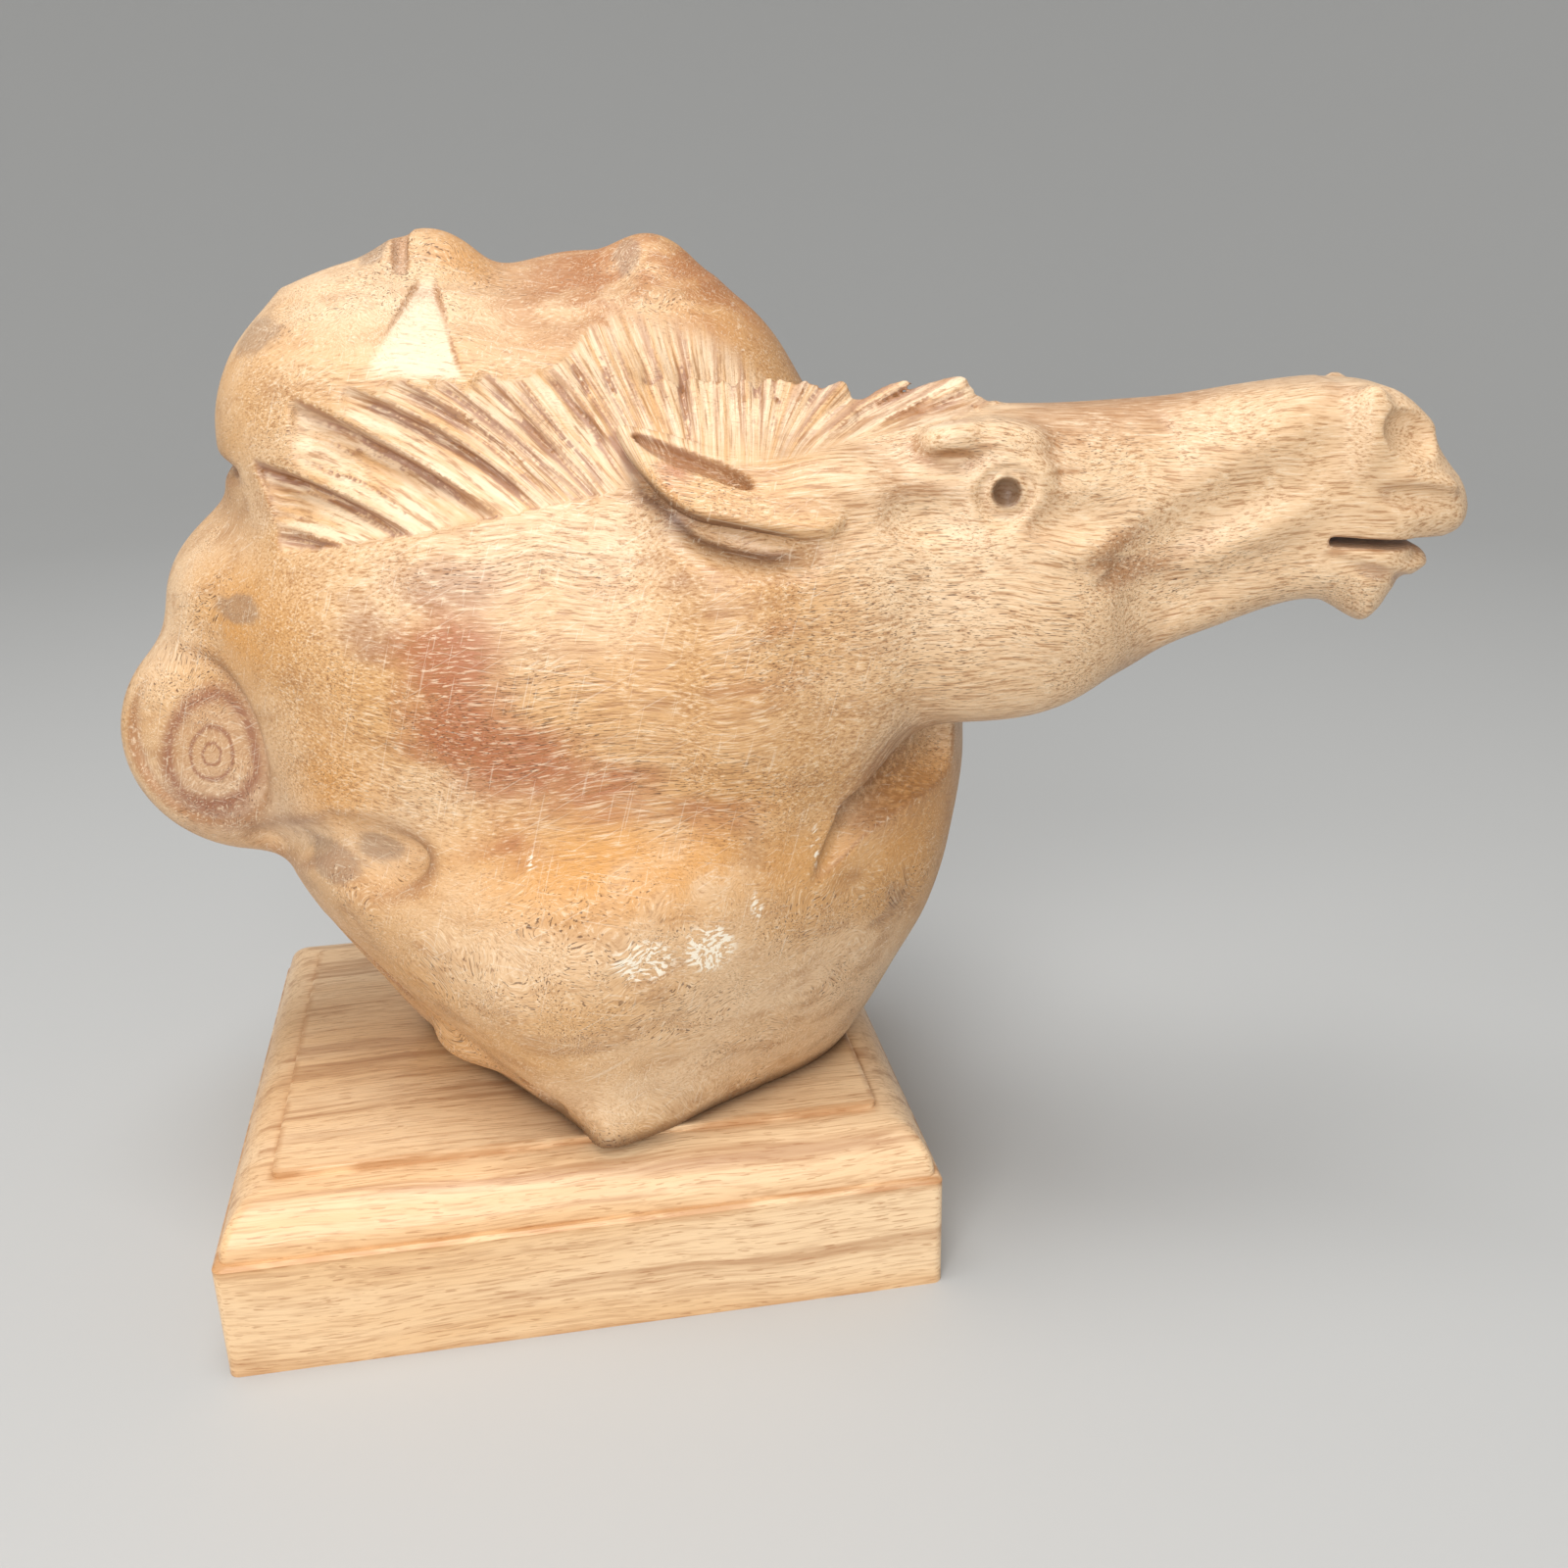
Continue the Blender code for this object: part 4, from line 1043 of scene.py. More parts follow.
def paint_ear(mesh, points):
    """Keeps the painted shade in the hollow of the ear and the painted shadow on the wall under its lower
    rim.
    """
    along, across, above = ear_frame(points)
    inner = outline_distance(along, across, rounded_corners(EAR_HOLLOW))
    # Painted shade in the ear's hollow, darker further from its tip.
    deeper = 0.4 + 0.6 * step_up(along, 14, 26)
    store(mesh, "ear", step_up(-inner, -0.6, 1.4) * step_up(3.5 - np.abs(above), 0, 1) * deeper)
    # Painted shadow on the undercut wall under the ear's lower rim.
    outer = outline_distance(along, across, rounded_corners(EAR))
    under = np.exp(-np.maximum(outer, 0) / 1.8) * step_up(outer, -1.4, -0.5) * step_up(-across, 1, 4)
    under = under * step_up(-above, 1.0, 2.4)
    under = under * step_up(along, 2, 12) * (1 - step_up(along, 34, 42)) * (np.abs(above) < 10)
    store(mesh, "shadow under ear", under)


def paint(mesh, points, outward):
    """Keeps on the mesh what its wood's colours, its painted shade and its painted highlight follow."""
    x, y, z = points.T
    front = 1 - step_up(y, -16, -8)
    head = step_up(x + 0.35 * (z - 100), 58, 80) * step_up(z, 76, 88)
    paint_mane(mesh, points, front)
    paint_ear(mesh, points)
    # Painted shade: a hollow is where the wood just above the surface is still close, a crease where it is
    # close nearer still.
    store(mesh, "hollow", np.clip((2.0 - carving_field(points + 2.0 * outward)) / 2.0, 0, 1))
    store(mesh, "crease", np.clip((0.7 - carving_field(points + 0.7 * outward)) / 0.5, 0, 1))
    # The pupil's hole is painted in shade.
    pupil = np.linalg.norm(points - np.array(PUPIL), axis=1)
    store(mesh, "pupil", 1 - step_up(pupil, *PUPIL_RADII))
    # Painted shadow of the head on the throat, not on the head itself.
    store(mesh, "throat", np.clip(2.0 * blob(points, *THROAT_SHADOW_AND_CUTS) - 0.2, 0, 1) * (1 - head))
    store(mesh, "cheek", np.clip(1.6 * blob(points, *CHEEK), 0, 1))
    store(mesh, "heart", patches(points, HEART_PATCHES) * front)
    store(mesh, "mauve", patches(points, MAUVE_PATCHES) * front)
    store(mesh, "gold", patches(points, GOLD_PATCHES))
    store(mesh, "grey", patches(points, GREY_PATCHES))
    # Painted shade in small creases of the head, and dark knots.
    store(mesh, "mark", patches(points, CREASE_SHADE_AND_KNOTS))
    store(mesh, "chip", patches(points, CHIPS))
    store(mesh, "knot", knot_radius(points))
    # The chisel face is painted pale: paler cut wood with a painted highlight.
    store(mesh, "facet", step_up(-outline_distance(x, z, FACET), -0.4, 0.6) * front)
    store(mesh, "head", head * front)
    # The grain is fuzzy low down, at the top and at the left.
    swirl = np.maximum(1 - step_up(z, 46, 74), step_up(z, 144, 152))
    store(mesh, "swirl", np.clip(np.maximum(swirl, 1 - step_up(x, -60, -40)), 0, 1) * (1 - head))
    store(mesh, "bark", np.maximum(step_up(z, 138, 158) * step_up(x, -12, 14), step_up(y, -8, 22)))
    # Painted shade along the carving's lowest few millimetres, where it stands on the plinth.
    store(mesh, "foot", 1 - step_up(z, 0.3, 4.5))


def grow(tree, kind, inputs=(), **settings):
    """A node of a material, with its settings and what goes into it."""
    node = tree.nodes.new("ShaderNode" + kind)
    for name, value in settings.items():
        setattr(node, name, value)
    for key, value in dict(inputs).items():
        if isinstance(value, bpy.types.NodeSocket):
            tree.links.new(value, node.inputs[key])
        else:
            node.inputs[key].default_value = value
    return node


def sums(tree, operation, first, second):
    """Two values put through a sum."""
    return grow(tree, "Math", {0: first, 1: second}, operation=operation).outputs[0]


def times(tree, *values):
    """Some values multiplied with each other."""
    product = values[0]
    for value in values[1:]:
        product = sums(tree, "MULTIPLY", product, value)
    return product


def between(tree, value, low, high):
    """0 below one value, 1 above the other, smooth between."""
    inputs = {"Value": value, "From Min": low, "From Max": high}
    return grow(tree, "MapRange", inputs, interpolation_type="SMOOTHSTEP").outputs["Result"]


def tinted(tree, amount, first, second):
    """One colour passing into another."""
    node = grow(tree, "Mix", data_type="RGBA", blend_type="MIX")
    for key, value in ((0, amount), (6, first), (7, second)):
        if isinstance(value, bpy.types.NodeSocket):
            tree.links.new(value, node.inputs[key])
        elif key == 0:
            node.inputs[key].default_value = value
        else:
            node.inputs[key].default_value = (*value, 1)
    return node.outputs[2]


def grain(tree, place, stretch, detail=2.0, roughness=0.5, seed=(0, 0, 0)):
    """Noise drawn out along the grain: features across each axis are one over its stretch in millimetres."""
    spread = grow(tree, "Mapping", {"Vector": place, "Location": seed, "Scale": stretch})
    inputs = {"Vector": spread.outputs[0], "Scale": 1.0, "Detail": detail, "Roughness": roughness}
    return grow(tree, "TexNoise", inputs).outputs["Fac"]


def kept(tree, name):
    """What the mesh keeps under a name."""
    return grow(tree, "Attribute", attribute_name=name).outputs["Fac"]


def wavered(tree, place, scale, amount):
    """Places pushed about by a broad noise, so that the grain wanders."""
    noise = grow(tree, "TexNoise", {"Vector": place, "Scale": scale, "Detail": 2.0})
    centred = grow(tree, "VectorMath", {0: noise.outputs["Color"], 1: (0.5, 0.5, 0.5)}, operation="SUBTRACT")
    pushed = grow(tree, "VectorMath", {0: centred.outputs[0], "Scale": amount}, operation="SCALE")
    return grow(tree, "VectorMath", {0: place, 1: pushed.outputs[0]}, operation="ADD").outputs[0]


def either(tree, amount, first, second):
    """One number passing into another."""
    return grow(tree, "Mix", {0: amount, 2: first, 3: second}, data_type="FLOAT").outputs[0]


def own_place(tree, lift, turn):
    """Places in the piece's own frame, in millimetres."""
    spot = grow(tree, "TexCoord").outputs["Object"]
    inputs = {"Location": (0, 0, -lift / MM), "Rotation": (0, 0, -turn), "Scale": (1 / MM, 1 / MM, 1 / MM)}
    return grow(tree, "Mapping", {"Vector": spot, **inputs}).outputs[0]


def new_wood(name):
    """A material with its nodes and its shader."""
    material = bpy.data.materials.new(name)
    material.use_nodes = True
    tree = material.node_tree
    return material, tree, tree.nodes["Principled BSDF"]


def toned(tree, settings, calm, blotch, spots, mid):
    """Broad tones of the wood: tan and cream, golden low down, mottled on the upper lobes."""
    broad = grain(tree, calm, (0.012, 0.03, 0.03), detail=3)
    colour = tinted(tree, between(tree, broad, 0.35, 0.7), settings.tan, settings.cream)
    colour = tinted(tree, times(tree, between(tree, mid, 0.45, 0.75), 0.5), colour, settings.brown)
    gold = times(tree, kept(tree, "gold"), between(tree, blotch, 0.15, 0.55))
    colour = tinted(tree, gold, colour, settings.gold)
    speckle = sums(tree, "ADD", blotch, times(tree, spots, 0.4))
    mottle = times(tree, kept(tree, "bark"), between(tree, speckle, 0.45, 0.8), 0.95)
    colour = tinted(tree, mottle, colour, settings.bark)
    return tinted(tree, times(tree, kept(tree, "head"), 0.75), colour, settings.cream)


def stained(tree, settings, colour, uneven):
    """The colour with the heartwood and the greyed mauve wood above it, both with ragged rims."""
    mauve = between(tree, sums(tree, "ADD", kept(tree, "mauve"), uneven), 0.2, 0.9)
    colour = tinted(tree, times(tree, mauve, 0.6), colour, settings.mauve)
    heart = between(tree, sums(tree, "ADD", kept(tree, "heart"), uneven), 0.2, 0.95)
    return tinted(tree, times(tree, heart, 0.85), colour, settings.heart)


def with_mane_colours(tree, settings, colour, mane, streak):
    """The colour with the mane's paler faces and its groove walls, part grey stain and part painted shade."""
    pale = tinted(tree, between(tree, streak, 0.35, 0.7), settings.pale, settings.tan)
    colour = tinted(tree, times(tree, mane, 0.75), colour, pale)
    # Groove walls: part grey stain, part painted shade.
    groove = times(tree, kept(tree, "groove"), between(tree, streak, 0.3, 0.55), 0.7)
    return tinted(tree, groove, colour, settings.mauve)


def with_hollows(tree, settings, colour, mane, uneven):
    """The colour with the chisel face, pale cut wood with a painted highlight, painted shade in hollows,
    creases and the ear's hollow, and the grey stains.
    """
    # Chisel face: paler cut wood with a painted highlight.
    colour = tinted(tree, times(tree, kept(tree, "facet"), 0.75), colour, settings.pale)
    # Painted shade in hollows, stronger in the mane.
    amount = sums(tree, "ADD", 0.5, times(tree, mane, 0.35))
    greyed = times(tree, between(tree, kept(tree, "hollow"), 0.08, 0.6), amount)
    colour = tinted(tree, greyed, colour, settings.mauve)
    # Painted shade in narrow creases.
    crease = between(tree, kept(tree, "crease"), 0.15, 0.8)
    colour = tinted(tree, times(tree, crease, 0.75), colour, settings.brown)
    # Painted shade in the ear's hollow.
    colour = tinted(tree, times(tree, kept(tree, "ear"), 0.8), colour, settings.brown)
    smoky = between(tree, sums(tree, "ADD", kept(tree, "grey"), uneven), 0.25, 0.6)
    return tinted(tree, times(tree, smoky, 0.6), colour, settings.smoke)


def with_rings(tree, settings, colour, stirred, spots):
    """The colour with the rings of the cut branch: where each begins, is darkest and ends."""
    ragged = times(tree, sums(tree, "SUBTRACT", spots, 0.5), 1.2)
    radius = sums(tree, "ADD", kept(tree, "knot"), ragged)
    rays = between(tree, grain(tree, stirred, (0.5, 0.5, 0.5), detail=3), 0.1, 0.5)
    colour = tinted(tree, times(tree, between(tree, radius, 15.0, 9.0), 0.3), colour, settings.knot)
    for low, top, high, amount in ((1.6, 2.3, 2.9, 0.75), (4.4, 5.4, 6.2, 0.75), (8.5, 11.0, 15.0, 0.8)):
        ring = sums(tree, "SUBTRACT", between(tree, radius, low, top), between(tree, radius, top, high))
        colour = tinted(tree, times(tree, ring, rays, amount), colour, settings.knot)
    return colour


def with_fibres(tree, settings, colour, fibre, swirl):
    """The colour with pale flecks and darker fibres."""
    fleck = sums(tree, "ADD", 0.6, times(tree, swirl, -0.05))
    colour = tinted(tree, times(tree, between(tree, fibre, 0.53, 0.66), fleck), colour, settings.pale)
    dark = sums(tree, "SUBTRACT", 0.7, times(tree, swirl, 0.3))
    return tinted(tree, times(tree, between(tree, fibre, 0.49, 0.36), dark), colour, settings.brown)


def leaning(tree, place, angle):
    """Places turned in the picture's plane, for grain that runs aslant."""
    return grow(tree, "Mapping", {"Vector": place, "Rotation": (0.0, angle, 0.0)}).outputs[0]


def with_marks(tree, settings, colour, place):
    """The colour with the painted shadow on the wall under the ear, painted shade in the pupil, small marks
    of painted crease shade and knots, and the throat's cuts as painted shadow.
    """
    # Painted shadow under the ear.
    colour = tinted(tree, times(tree, kept(tree, "shadow under ear"), 0.85), colour, settings.dark)
    # Painted shade in the pupil's hole.
    colour = tinted(tree, times(tree, kept(tree, "pupil"), 0.85), colour, settings.pore)
    # Painted shade in small creases, and dark knots.
    mark = between(tree, kept(tree, "mark"), 0.1, 0.8)
    colour = tinted(tree, times(tree, mark, 0.8), colour, settings.brown)
    # Painted shadow on the throat, broken into streaks like chisel cuts.
    slanted = leaning(tree, place, 0.8)
    cuts = between(tree, grain(tree, slanted, (0.05, 0.9, 0.9), detail=3), 0.34, 0.56)
    return tinted(tree, times(tree, kept(tree, "throat"), cuts, 0.85), colour, settings.brown)


def with_chips(tree, settings, colour, place, stirred, mane):
    """The colour with bare chips and fine scratches, which the mane and the head have none of."""
    rubbed = between(tree, grain(tree, stirred, (0.5, 1.0, 1.0), detail=3, seed=(5, 5, 5)), 0.42, 0.6)
    chip = between(tree, times(tree, kept(tree, "chip"), rubbed), 0.2, 0.5)
    colour = tinted(tree, chip, colour, settings.chip)
    plain = sums(tree, "SUBTRACT", 1.0, sums(tree, "MAXIMUM", mane, kept(tree, "head")))
    for lean, seed in ((0.5, (8, 1, 3)), (-0.2, (3, 6, 1)), (1.3, (5, 2, 9))):
        scratch = grain(tree, leaning(tree, place, lean), (0.06, 0.6, 2.8), detail=1, seed=seed)
        amount = times(tree, between(tree, scratch, 0.67, 0.72), plain, 0.22)
        colour = tinted(tree, amount, colour, settings.chip)
    return colour


def carving_wood(settings):
    """Oiled driftwood: calm grain on the head, fuzzy grain on the burl, and all that is kept on the mesh."""
    material, tree, shader = new_wood("oiled driftwood")
    place = own_place(tree, CARVING_BOX[0][2], TURN)
    calm = wavered(tree, place, 0.025, 10.0)
    stirred = wavered(tree, wavered(tree, place, 0.035, 34.0), 0.16, 4.5)
    swirl, mane = kept(tree, "swirl"), kept(tree, "mane")
    lock = grow(tree, "CombineXYZ", {0: kept(tree, "lock along"), 1: kept(tree, "lock across")}).outputs[0]

    # Noises that several colours share.
    mid = grain(tree, calm, (0.035, 0.2, 0.2), detail=3, seed=(7, 3, 1))
    blotch = grain(tree, stirred, (0.055, 0.055, 0.055), detail=4, roughness=0.6)
    spots = grain(tree, stirred, (0.16, 0.16, 0.16), detail=3, roughness=0.6, seed=(2, 2, 7))
    uneven = sums(tree, "ADD", sums(tree, "SUBTRACT", mid, 0.5), sums(tree, "SUBTRACT", spots, 0.5))
    uneven = times(tree, uneven, 0.55)
    streak = grain(tree, lock, (0.05, 0.9, 1.0), detail=3, roughness=0.6, seed=(4, 9, 2))

    # Fibres follow the grain, and in the mane its locks.
    fibre_calm = grain(tree, calm, (0.14, 2.4, 2.4), detail=3, roughness=0.65)
    fibre_stirred = grain(tree, stirred, (0.7, 2.6, 2.6), detail=3, roughness=0.65)
    fibre_lock = grain(tree, lock, (0.12, 1.9, 1.0), detail=3, roughness=0.65)
    fibre = either(tree, mane, either(tree, swirl, fibre_calm, fibre_stirred), fibre_lock)

    # Short dark pores, thick in places and on the cheek.
    pore_calm = grain(tree, calm, (0.55, 6.5, 6.5), detail=1, seed=(11, 5, 8))
    pore_stirred = grain(tree, stirred, (0.9, 3.4, 3.4), detail=1, seed=(2, 8, 6))
    thick = between(tree, grain(tree, calm, (0.03, 0.07, 0.07), seed=(1, 1, 9)), 0.42, 0.62)
    thick = sums(tree, "MAXIMUM", thick, kept(tree, "cheek"))
    thick = sums(tree, "ADD", 0.1, times(tree, thick, 0.7))
    pores = times(tree, between(tree, either(tree, swirl, pore_calm, pore_stirred), 0.6, 0.68), thick)

    colour = toned(tree, settings, calm, blotch, spots, mid)
    colour = stained(tree, settings, colour, uneven)
    colour = with_mane_colours(tree, settings, colour, mane, streak)
    colour = with_hollows(tree, settings, colour, mane, uneven)
    colour = with_rings(tree, settings, colour, stirred, spots)
    colour = with_fibres(tree, settings, colour, fibre, swirl)
    colour = with_marks(tree, settings, colour, place)
    bare = sums(tree, "SUBTRACT", 1.0, sums(tree, "MAXIMUM", times(tree, mane, 0.6), kept(tree, "facet")))
    colour = tinted(tree, times(tree, pores, bare), colour, settings.pore)
    colour = with_chips(tree, settings, colour, place, stirred, mane)
    # Painted shade along the carving's foot, where it meets the plinth.
    colour = tinted(tree, times(tree, kept(tree, "foot"), 0.75), colour, settings.pore)
    tree.links.new(colour, shader.inputs["Base Color"])

    # Satin where it was rubbed, drier in the fuzz and the grooves.
    rough = sums(tree, "ADD", 0.3, times(tree, fibre, 0.2))
    rough = sums(tree, "ADD", rough, times(tree, swirl, 0.1))
    rough = sums(tree, "ADD", rough, times(tree, mane, 0.14))
    tree.links.new(rough, shader.inputs["Roughness"])
    height = sums(tree, "SUBTRACT", times(tree, fibre, 0.8), times(tree, pores, 0.8))
    bump = grow(tree, "Bump", {"Strength": 0.5, "Distance": 0.4 * MM, "Height": height})
    tree.links.new(bump.outputs[0], shader.inputs["Normal"])
    return material


def plinth_wood(settings):
    """Varnished straight-grained wood, darker along its edges, with painted shade round the foot of the
    carving.
    """
    material, tree, shader = new_wood("varnished plinth wood")
    place = own_place(tree, 0, 0)
    calm = wavered(tree, place, 0.02, 6.0)
    broad = grain(tree, calm, (0.006, 0.045, 0.045), detail=3)
    lines = grain(tree, calm, (0.01, 0.3, 0.3), detail=3, roughness=0.6, seed=(3, 2, 5))
    fine = grain(tree, calm, (0.1, 2.0, 2.0), detail=2, seed=(6, 1, 4))
    pores = grain(tree, calm, (0.2, 2.6, 2.6), detail=1, seed=(9, 4, 4))
    colour = tinted(tree, between(tree, broad, 0.35, 0.65), settings.tan, settings.pale)
    colour = tinted(tree, times(tree, between(tree, lines, 0.5, 0.72), 0.6), colour, settings.grain)
    colour = tinted(tree, times(tree, between(tree, fine, 0.45, 0.7), 0.35), colour, settings.grain)
    colour = tinted(tree, times(tree, between(tree, pores, 0.62, 0.68), 0.5), colour, settings.grain)
    rubbed = between(tree, grain(tree, calm, (0.08, 0.3, 0.3), seed=(2, 2, 2)), 0.3, 0.6)
    colour = tinted(tree, times(tree, kept(tree, "wear"), rubbed, 0.6), colour, settings.worn)
    # Painted shade round the carving's foot.
    colour = tinted(tree, times(tree, kept(tree, "shade"), 0.8), colour, settings.foot_shade_colour)
    tree.links.new(colour, shader.inputs["Base Color"])
    tree.links.new(sums(tree, "ADD", 0.32, times(tree, fine, 0.14)), shader.inputs["Roughness"])
    bump = grow(tree, "Bump", {"Strength": 0.3, "Distance": 0.3 * MM, "Height": fine})
    tree.links.new(bump.outputs[0], shader.inputs["Normal"])
    return material


class OBJECT_OT_carve_horse_head(bpy.types.Operator):
    """Carve the horse head and the burl it grows out of"""

    bl_idname = "object.carve_horse_head"
    bl_label = "Carve Horse Head"

    def execute(self, context):
        settings = context.scene.horse_head_carving
        points, quads = drawn_out(carving_field, settings.cell)
        mesh = fewer_faces(points, quads, settings.triangles)
        places = corners(mesh)
        paint(mesh, places, slopes(carving_field, places))
        raised = Matrix.Translation((0, 0, CARVING_BOX[0][2]))
        mesh.transform(raised @ Matrix.Rotation(TURN, 4, "Z") @ Matrix.Scale(SCALE, 4))
        fit(mesh, CARVING_BOX)
        mesh.shade_smooth()
        mesh.materials.append(carving_wood(settings))
        put("horse_head_carving", mesh, CARVING)
        return {"FINISHED"}


# Points on half a side of the plinth and on a corner of it, rings on its upright face and on its top.
HALF_SIDE_POINTS = 60
CORNER_POINTS = 10
FACE_RINGS = 8
TOP_RINGS = 56
# The painted shade round the carving's foot follows its outline at this height, in design millimetres.
FOOT_HEIGHT = 0.6
FOOT_SHADE_WIDTH = 2.2


def plinth_outline(settings):
    """Points close together round the plinth, seen from above, and its half sizes."""
    half = (np.array(PLINTH_BOX[1]) - np.array(PLINTH_BOX[0]))[:2] / 2
    straight = half - settings.corner
    count = HALF_SIDE_POINTS
    turns = np.linspace(0, math.pi / 2, CORNER_POINTS)
    corner = straight + settings.corner * np.stack((np.cos(turns), np.sin(turns)), axis=1)
    side = np.stack((np.full(count, half[0]), np.linspace(0, straight[1], count, endpoint=False)), axis=1)
    front = np.stack((np.linspace(straight[0], 0, count + 1)[1:], np.full(count, half[1])), axis=1)
    quarter = np.concatenate((side, corner, front))
    second = quarter[::-1][1:] * (-1, 1)
    upper = np.concatenate((quarter, second))
    return np.concatenate((upper, upper[1:-1] * (-1, -1))), half


def plinth_steps(settings, height):
    """The profile from the middle of the underside to the middle of the top: inset, height and wear."""
    face = height - settings.moulding_drop
    rise = settings.moulding_drop - settings.moulding_step
    reach = settings.side_inset - settings.ledge - settings.shelf
    whole = (PLINTH_BOX[1][0] - PLINTH_BOX[0][0]) / 2
    steps = [(whole * share, 0, 0) for share in (0.98, 0.5)]
    steps += [(0, 0, 1), (0, 0.6 * MM, 0.6)]
    steps += [(0, level, 0) for level in np.linspace(2 * MM, face - 2 * MM, FACE_RINGS)]
    steps += [(0, face - settings.ease, 1), (settings.ease, face, 1), (settings.ledge, face, 0.9)]
    for i in range(1, settings.facets + 1):
        turn = math.pi / 2 * i / settings.facets
        inset = settings.ledge + reach * (1 - math.cos(turn))
        steps.append((inset, face + rise * math.sin(turn), 0.15))
    steps += [(settings.side_inset - 0.2 * MM, face + rise, 1), (settings.side_inset, face + rise, 1)]
    steps.append((settings.side_inset, height - settings.ease / 2, 1))
    steps.append((settings.side_inset + settings.ease, height, 0.7))
    steps += [(whole * share, height, 0) for share in np.linspace(0.17, 0.98, TOP_RINGS)]
    return steps


def ring_insets(settings, half, inset):
    """How far in a ring of the plinth lies on its ends and on its long sides."""
    wide = settings.side_inset
    if inset <= wide + settings.ease:
        return np.array((inset, inset * settings.front_inset / wide))
    left = half[0] - wide
    across = settings.front_inset + (half[1] - settings.front_inset) * (inset - wide) / left
    return np.array((inset, across))


def foot_shade(points):
    """Painted shade: 1 on the plinth's top where the carving touches it, falling to nothing beside it."""
    beside = points @ np.array(Matrix.Rotation(TURN, 3, "Z")) / SCALE
    beside[:, 2] = FOOT_HEIGHT
    away = np.maximum(carving_field(beside), 0)
    on_top = points[:, 2] > PLINTH_BOX[1][2] - 0.1 * MM
    return np.where(on_top, np.exp(-away / FOOT_SHADE_WIDTH), 0)


class OBJECT_OT_mould_plinth(bpy.types.Operator):
    """Mould the plinth the burl stands on"""

    bl_idname = "object.mould_plinth"
    bl_label = "Mould Plinth"

    def execute(self, context):
        settings = context.scene.horse_head_plinth
        outline, half = plinth_outline(settings)
        height = PLINTH_BOX[1][2] - PLINTH_BOX[0][2]
        rings, wear = [], []
        for inset, level, worn in plinth_steps(settings, height):
            shrink = 1 - ring_insets(settings, half, inset) / half
            rings.append(np.column_stack((outline * shrink, np.full(len(outline), level + PLINTH_BOX[0][2]))))
            wear.append(np.full(len(outline), float(worn)))
        around = len(outline)
        points = np.concatenate(rings)
        start = np.arange(around)
        following = (start + 1) % around
        faces = []
        for row in range(len(rings) - 1):
            low, high = row * around, (row + 1) * around
            faces += np.column_stack((start + low, following + low, following + high, start + high)).tolist()
        faces += [start[::-1].tolist(), (start + (len(rings) - 1) * around).tolist()]
        mesh = bpy.data.meshes.new("moulded plinth")
        mesh.from_pydata(points.tolist(), [], faces)
        mesh.shade_smooth()
        mesh.set_sharp_from_angle(angle=math.radians(35))
        store(mesh, "wear", np.concatenate(wear))
        store(mesh, "shade", foot_shade(points))
        mesh.materials.append(plinth_wood(settings))
        put("moulded_plinth", mesh, PLINTH)
        return {"FINISHED"}


# The floor's points round its middle, and the radius of its bend.
FLOOR_AROUND = 96
FLOOR_BEND = 0.9
# Soft lamps: name, place, size in metres and power in watts.
LAMPS = (
    ("overhead", (-0.1, -0.15, 1.0), 0.5, 6.0),
    ("window", (-0.3, -0.95, 0.55), 0.6, 9.0),
)
LIT_SPOT = Vector((0.03, 0, 0.1))
SKY_STRENGTH = 0.5
LENS = 36


class OBJECT_OT_set_horse_stage(bpy.types.Operator):
    """Lay the floor, hang the lights and place the camera"""

    bl_idname = "object.set_horse_stage"
    bl_label = "Set Stage"

    def execute(self, context):
        settings = context.scene.horse_head_stage
        scene = context.scene
        place_camera(scene, settings)
        floor = bpy.data.objects.new("floor", floor_dish(settings.reach))
        scene.collection.objects.link(floor)
        material = bpy.data.materials.new("pale floor")
        material.use_nodes = True
        shader = material.node_tree.nodes["Principled BSDF"]
        shader.inputs["Base Color"].default_value = (*settings.floor, 1)
        shader.inputs["Roughness"].default_value = 0.7
        floor.data.materials.append(material)
        world = bpy.data.worlds.new("studio")
        scene.world = world
        world.use_nodes = True
        background = world.node_tree.nodes["Background"]
        background.inputs["Color"].default_value = (1.0, 1.0, 1.0, 1)
        background.inputs["Strength"].default_value = SKY_STRENGTH
        for lamp in LAMPS:
            hang_light(scene, *lamp)
        scene.view_settings.view_transform = "Standard"
        return {"FINISHED"}


def floor_dish(reach):
    """A plain floor that curves up all round, far away, so that no edge of it shows."""
    around = FLOOR_AROUND
    turns = np.linspace(0, 2 * math.pi, around + 1)[:-1]
    rows = [(0.05, 0.0), (reach, 0.0)]
    for bend in np.linspace(0, math.pi / 2, 13)[1:]:
        rows.append((reach + FLOOR_BEND * math.sin(bend), FLOOR_BEND * (1 - math.cos(bend))))
    points = [(r * math.cos(t), r * math.sin(t), h) for r, h in rows for t in turns]
    faces = [tuple(range(around))]
    for row in range(len(rows) - 1):
        low, high = row * around, (row + 1) * around
        for i in range(around):
            j = (i + 1) % around
            faces.append((low + i, high + i, high + j, low + j))
    mesh = bpy.data.meshes.new("floor")
    mesh.from_pydata(points, [], faces)
    mesh.shade_smooth()
    return mesh


def hang_light(scene, name, place, size, power):
    """Hangs a square soft lamp that faces the carving."""
    light = bpy.data.lights.new(name, "AREA")
    light.size = size
    light.energy = power
    lamp = bpy.data.objects.new(name, light)
    lamp.location = place
    towards = LIT_SPOT - Vector(place)
    lamp.rotation_euler = towards.to_track_quat("-Z", "Y").to_euler()
    scene.collection.objects.link(lamp)


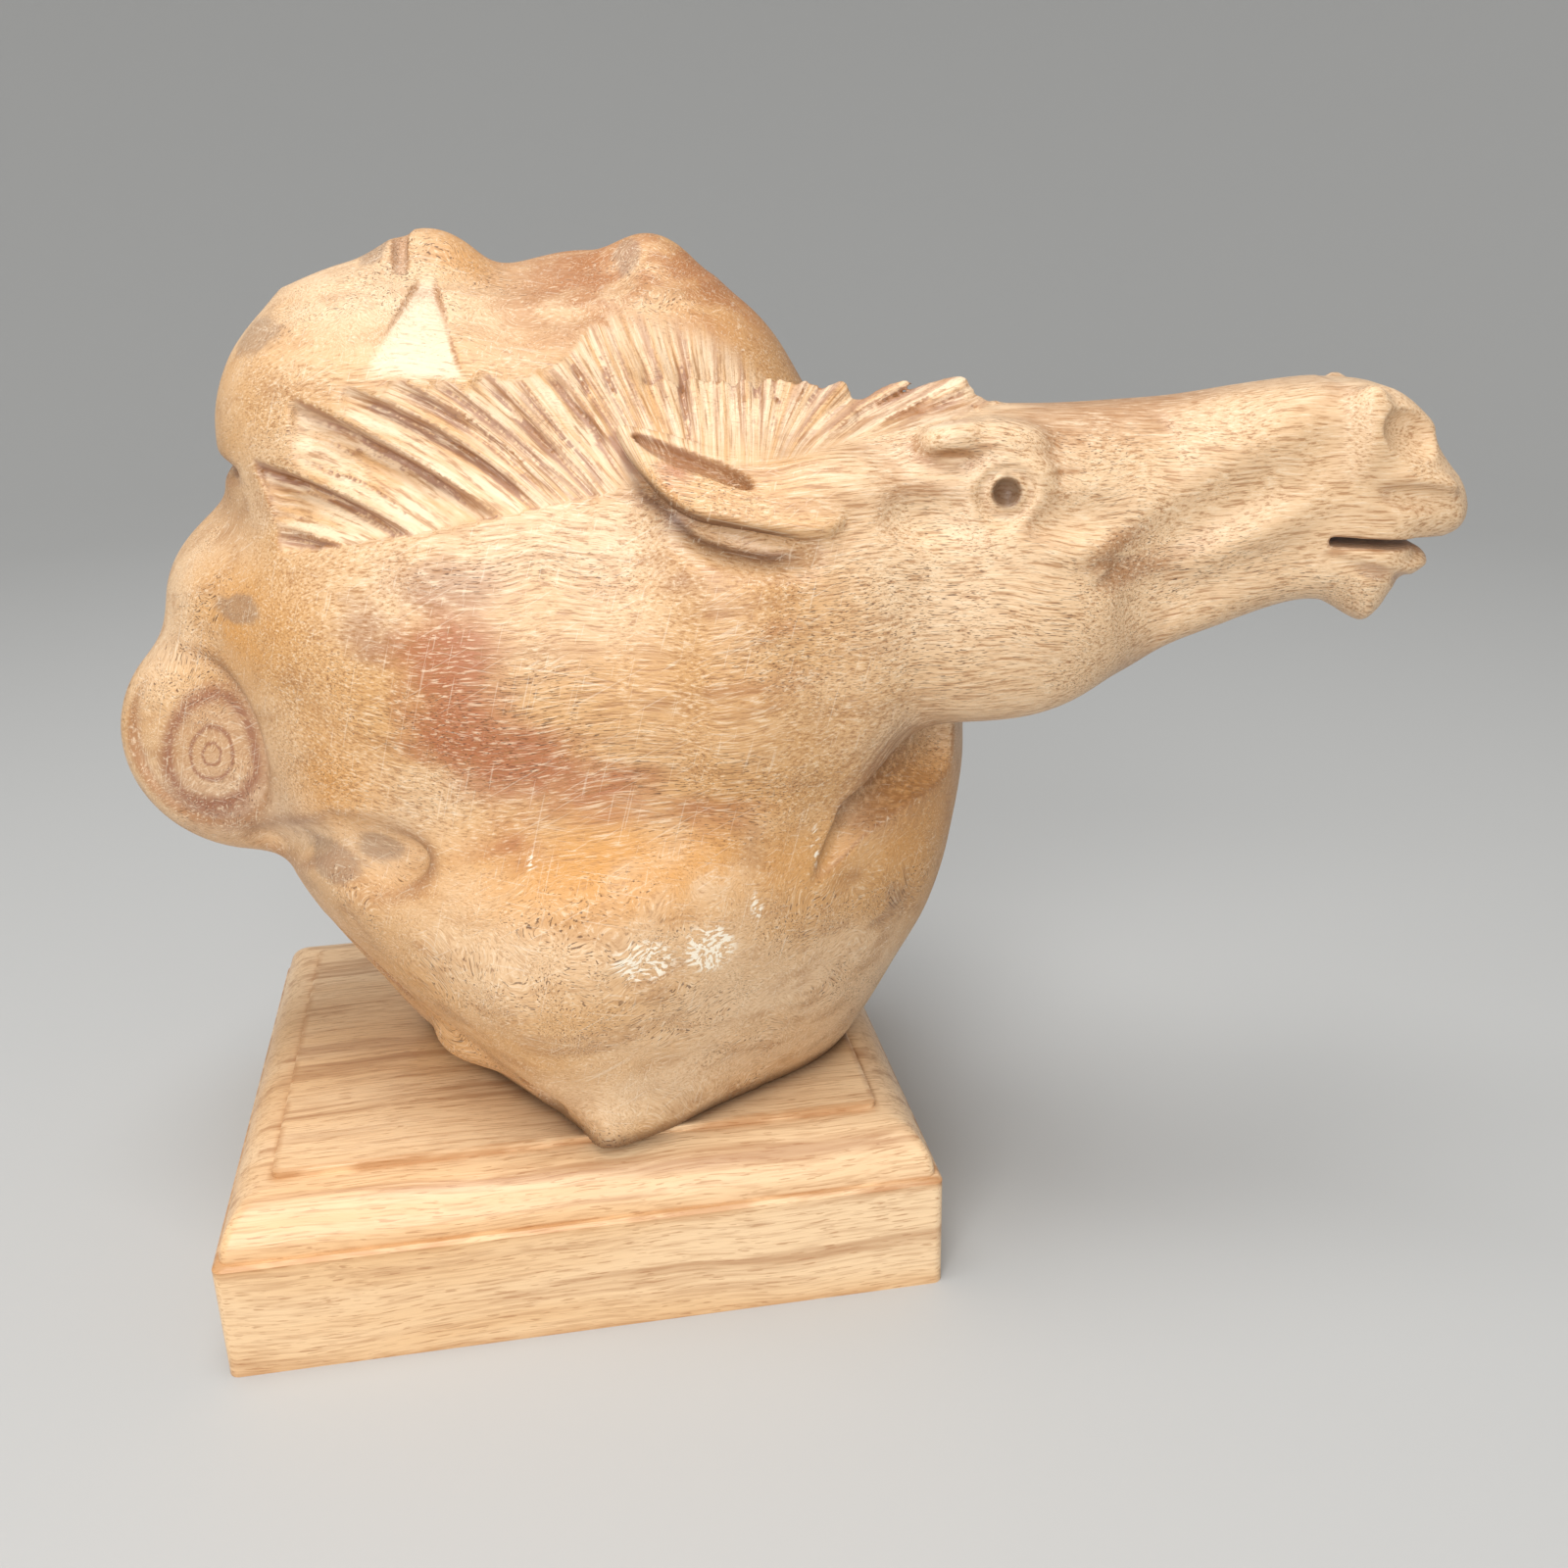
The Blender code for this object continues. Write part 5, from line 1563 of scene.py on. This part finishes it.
def place_camera(scene, settings):
    """Places the camera and turns it by its yaw, its pitch and its roll."""
    camera = bpy.data.cameras.new("camera")
    camera.sensor_width = 36
    camera.lens = LENS
    camera.clip_start = 0.01
    holder = bpy.data.objects.new("camera", camera)
    scene.collection.objects.link(holder)
    ahead = Vector(
        (
            math.sin(settings.yaw) * math.cos(settings.pitch),
            math.cos(settings.yaw) * math.cos(settings.pitch),
            -math.sin(settings.pitch),
        )
    )
    right = Vector((math.cos(settings.yaw), -math.sin(settings.yaw), 0))
    up = right.cross(ahead)
    tilt_right = math.cos(settings.roll) * right + math.sin(settings.roll) * up
    tilt_up = math.cos(settings.roll) * up - math.sin(settings.roll) * right
    holder.matrix_world = Matrix((tilt_right, tilt_up, -ahead)).transposed().to_4x4()
    holder.location = settings.eye
    scene.camera = holder


class VIEW3D_PT_horse_head(bpy.types.Panel):
    """Steps that make the driftwood horse head"""

    bl_label = "Driftwood Horse Head"
    bl_space_type = "VIEW_3D"
    bl_region_type = "UI"
    bl_category = "Horse Head"

    def draw(self, context):
        for step in STEPS:
            self.layout.operator(step.bl_idname)


STEPS = (OBJECT_OT_carve_horse_head, OBJECT_OT_mould_plinth, OBJECT_OT_set_horse_stage)
GROUPS = (
    ("horse_head_carving", CarvingSettings),
    ("horse_head_plinth", PlinthSettings),
    ("horse_head_stage", StageSettings),
)


def register():
    """Adds the settings, the operators and the panel."""
    for name, group in GROUPS:
        bpy.utils.register_class(group)
        setattr(bpy.types.Scene, name, bpy.props.PointerProperty(type=group))
    for step in STEPS + (VIEW3D_PT_horse_head,):
        bpy.utils.register_class(step)


def unregister():
    """Takes them away again."""
    for step in reversed(STEPS + (VIEW3D_PT_horse_head,)):
        bpy.utils.unregister_class(step)
    for name, group in reversed(GROUPS):
        delattr(bpy.types.Scene, name)
        bpy.utils.unregister_class(group)


def main():
    """Makes every piece and the stage."""
    register()
    bpy.ops.object.carve_horse_head()
    bpy.ops.object.mould_plinth()
    bpy.ops.object.set_horse_stage()


if __name__ == "__main__":
    main()
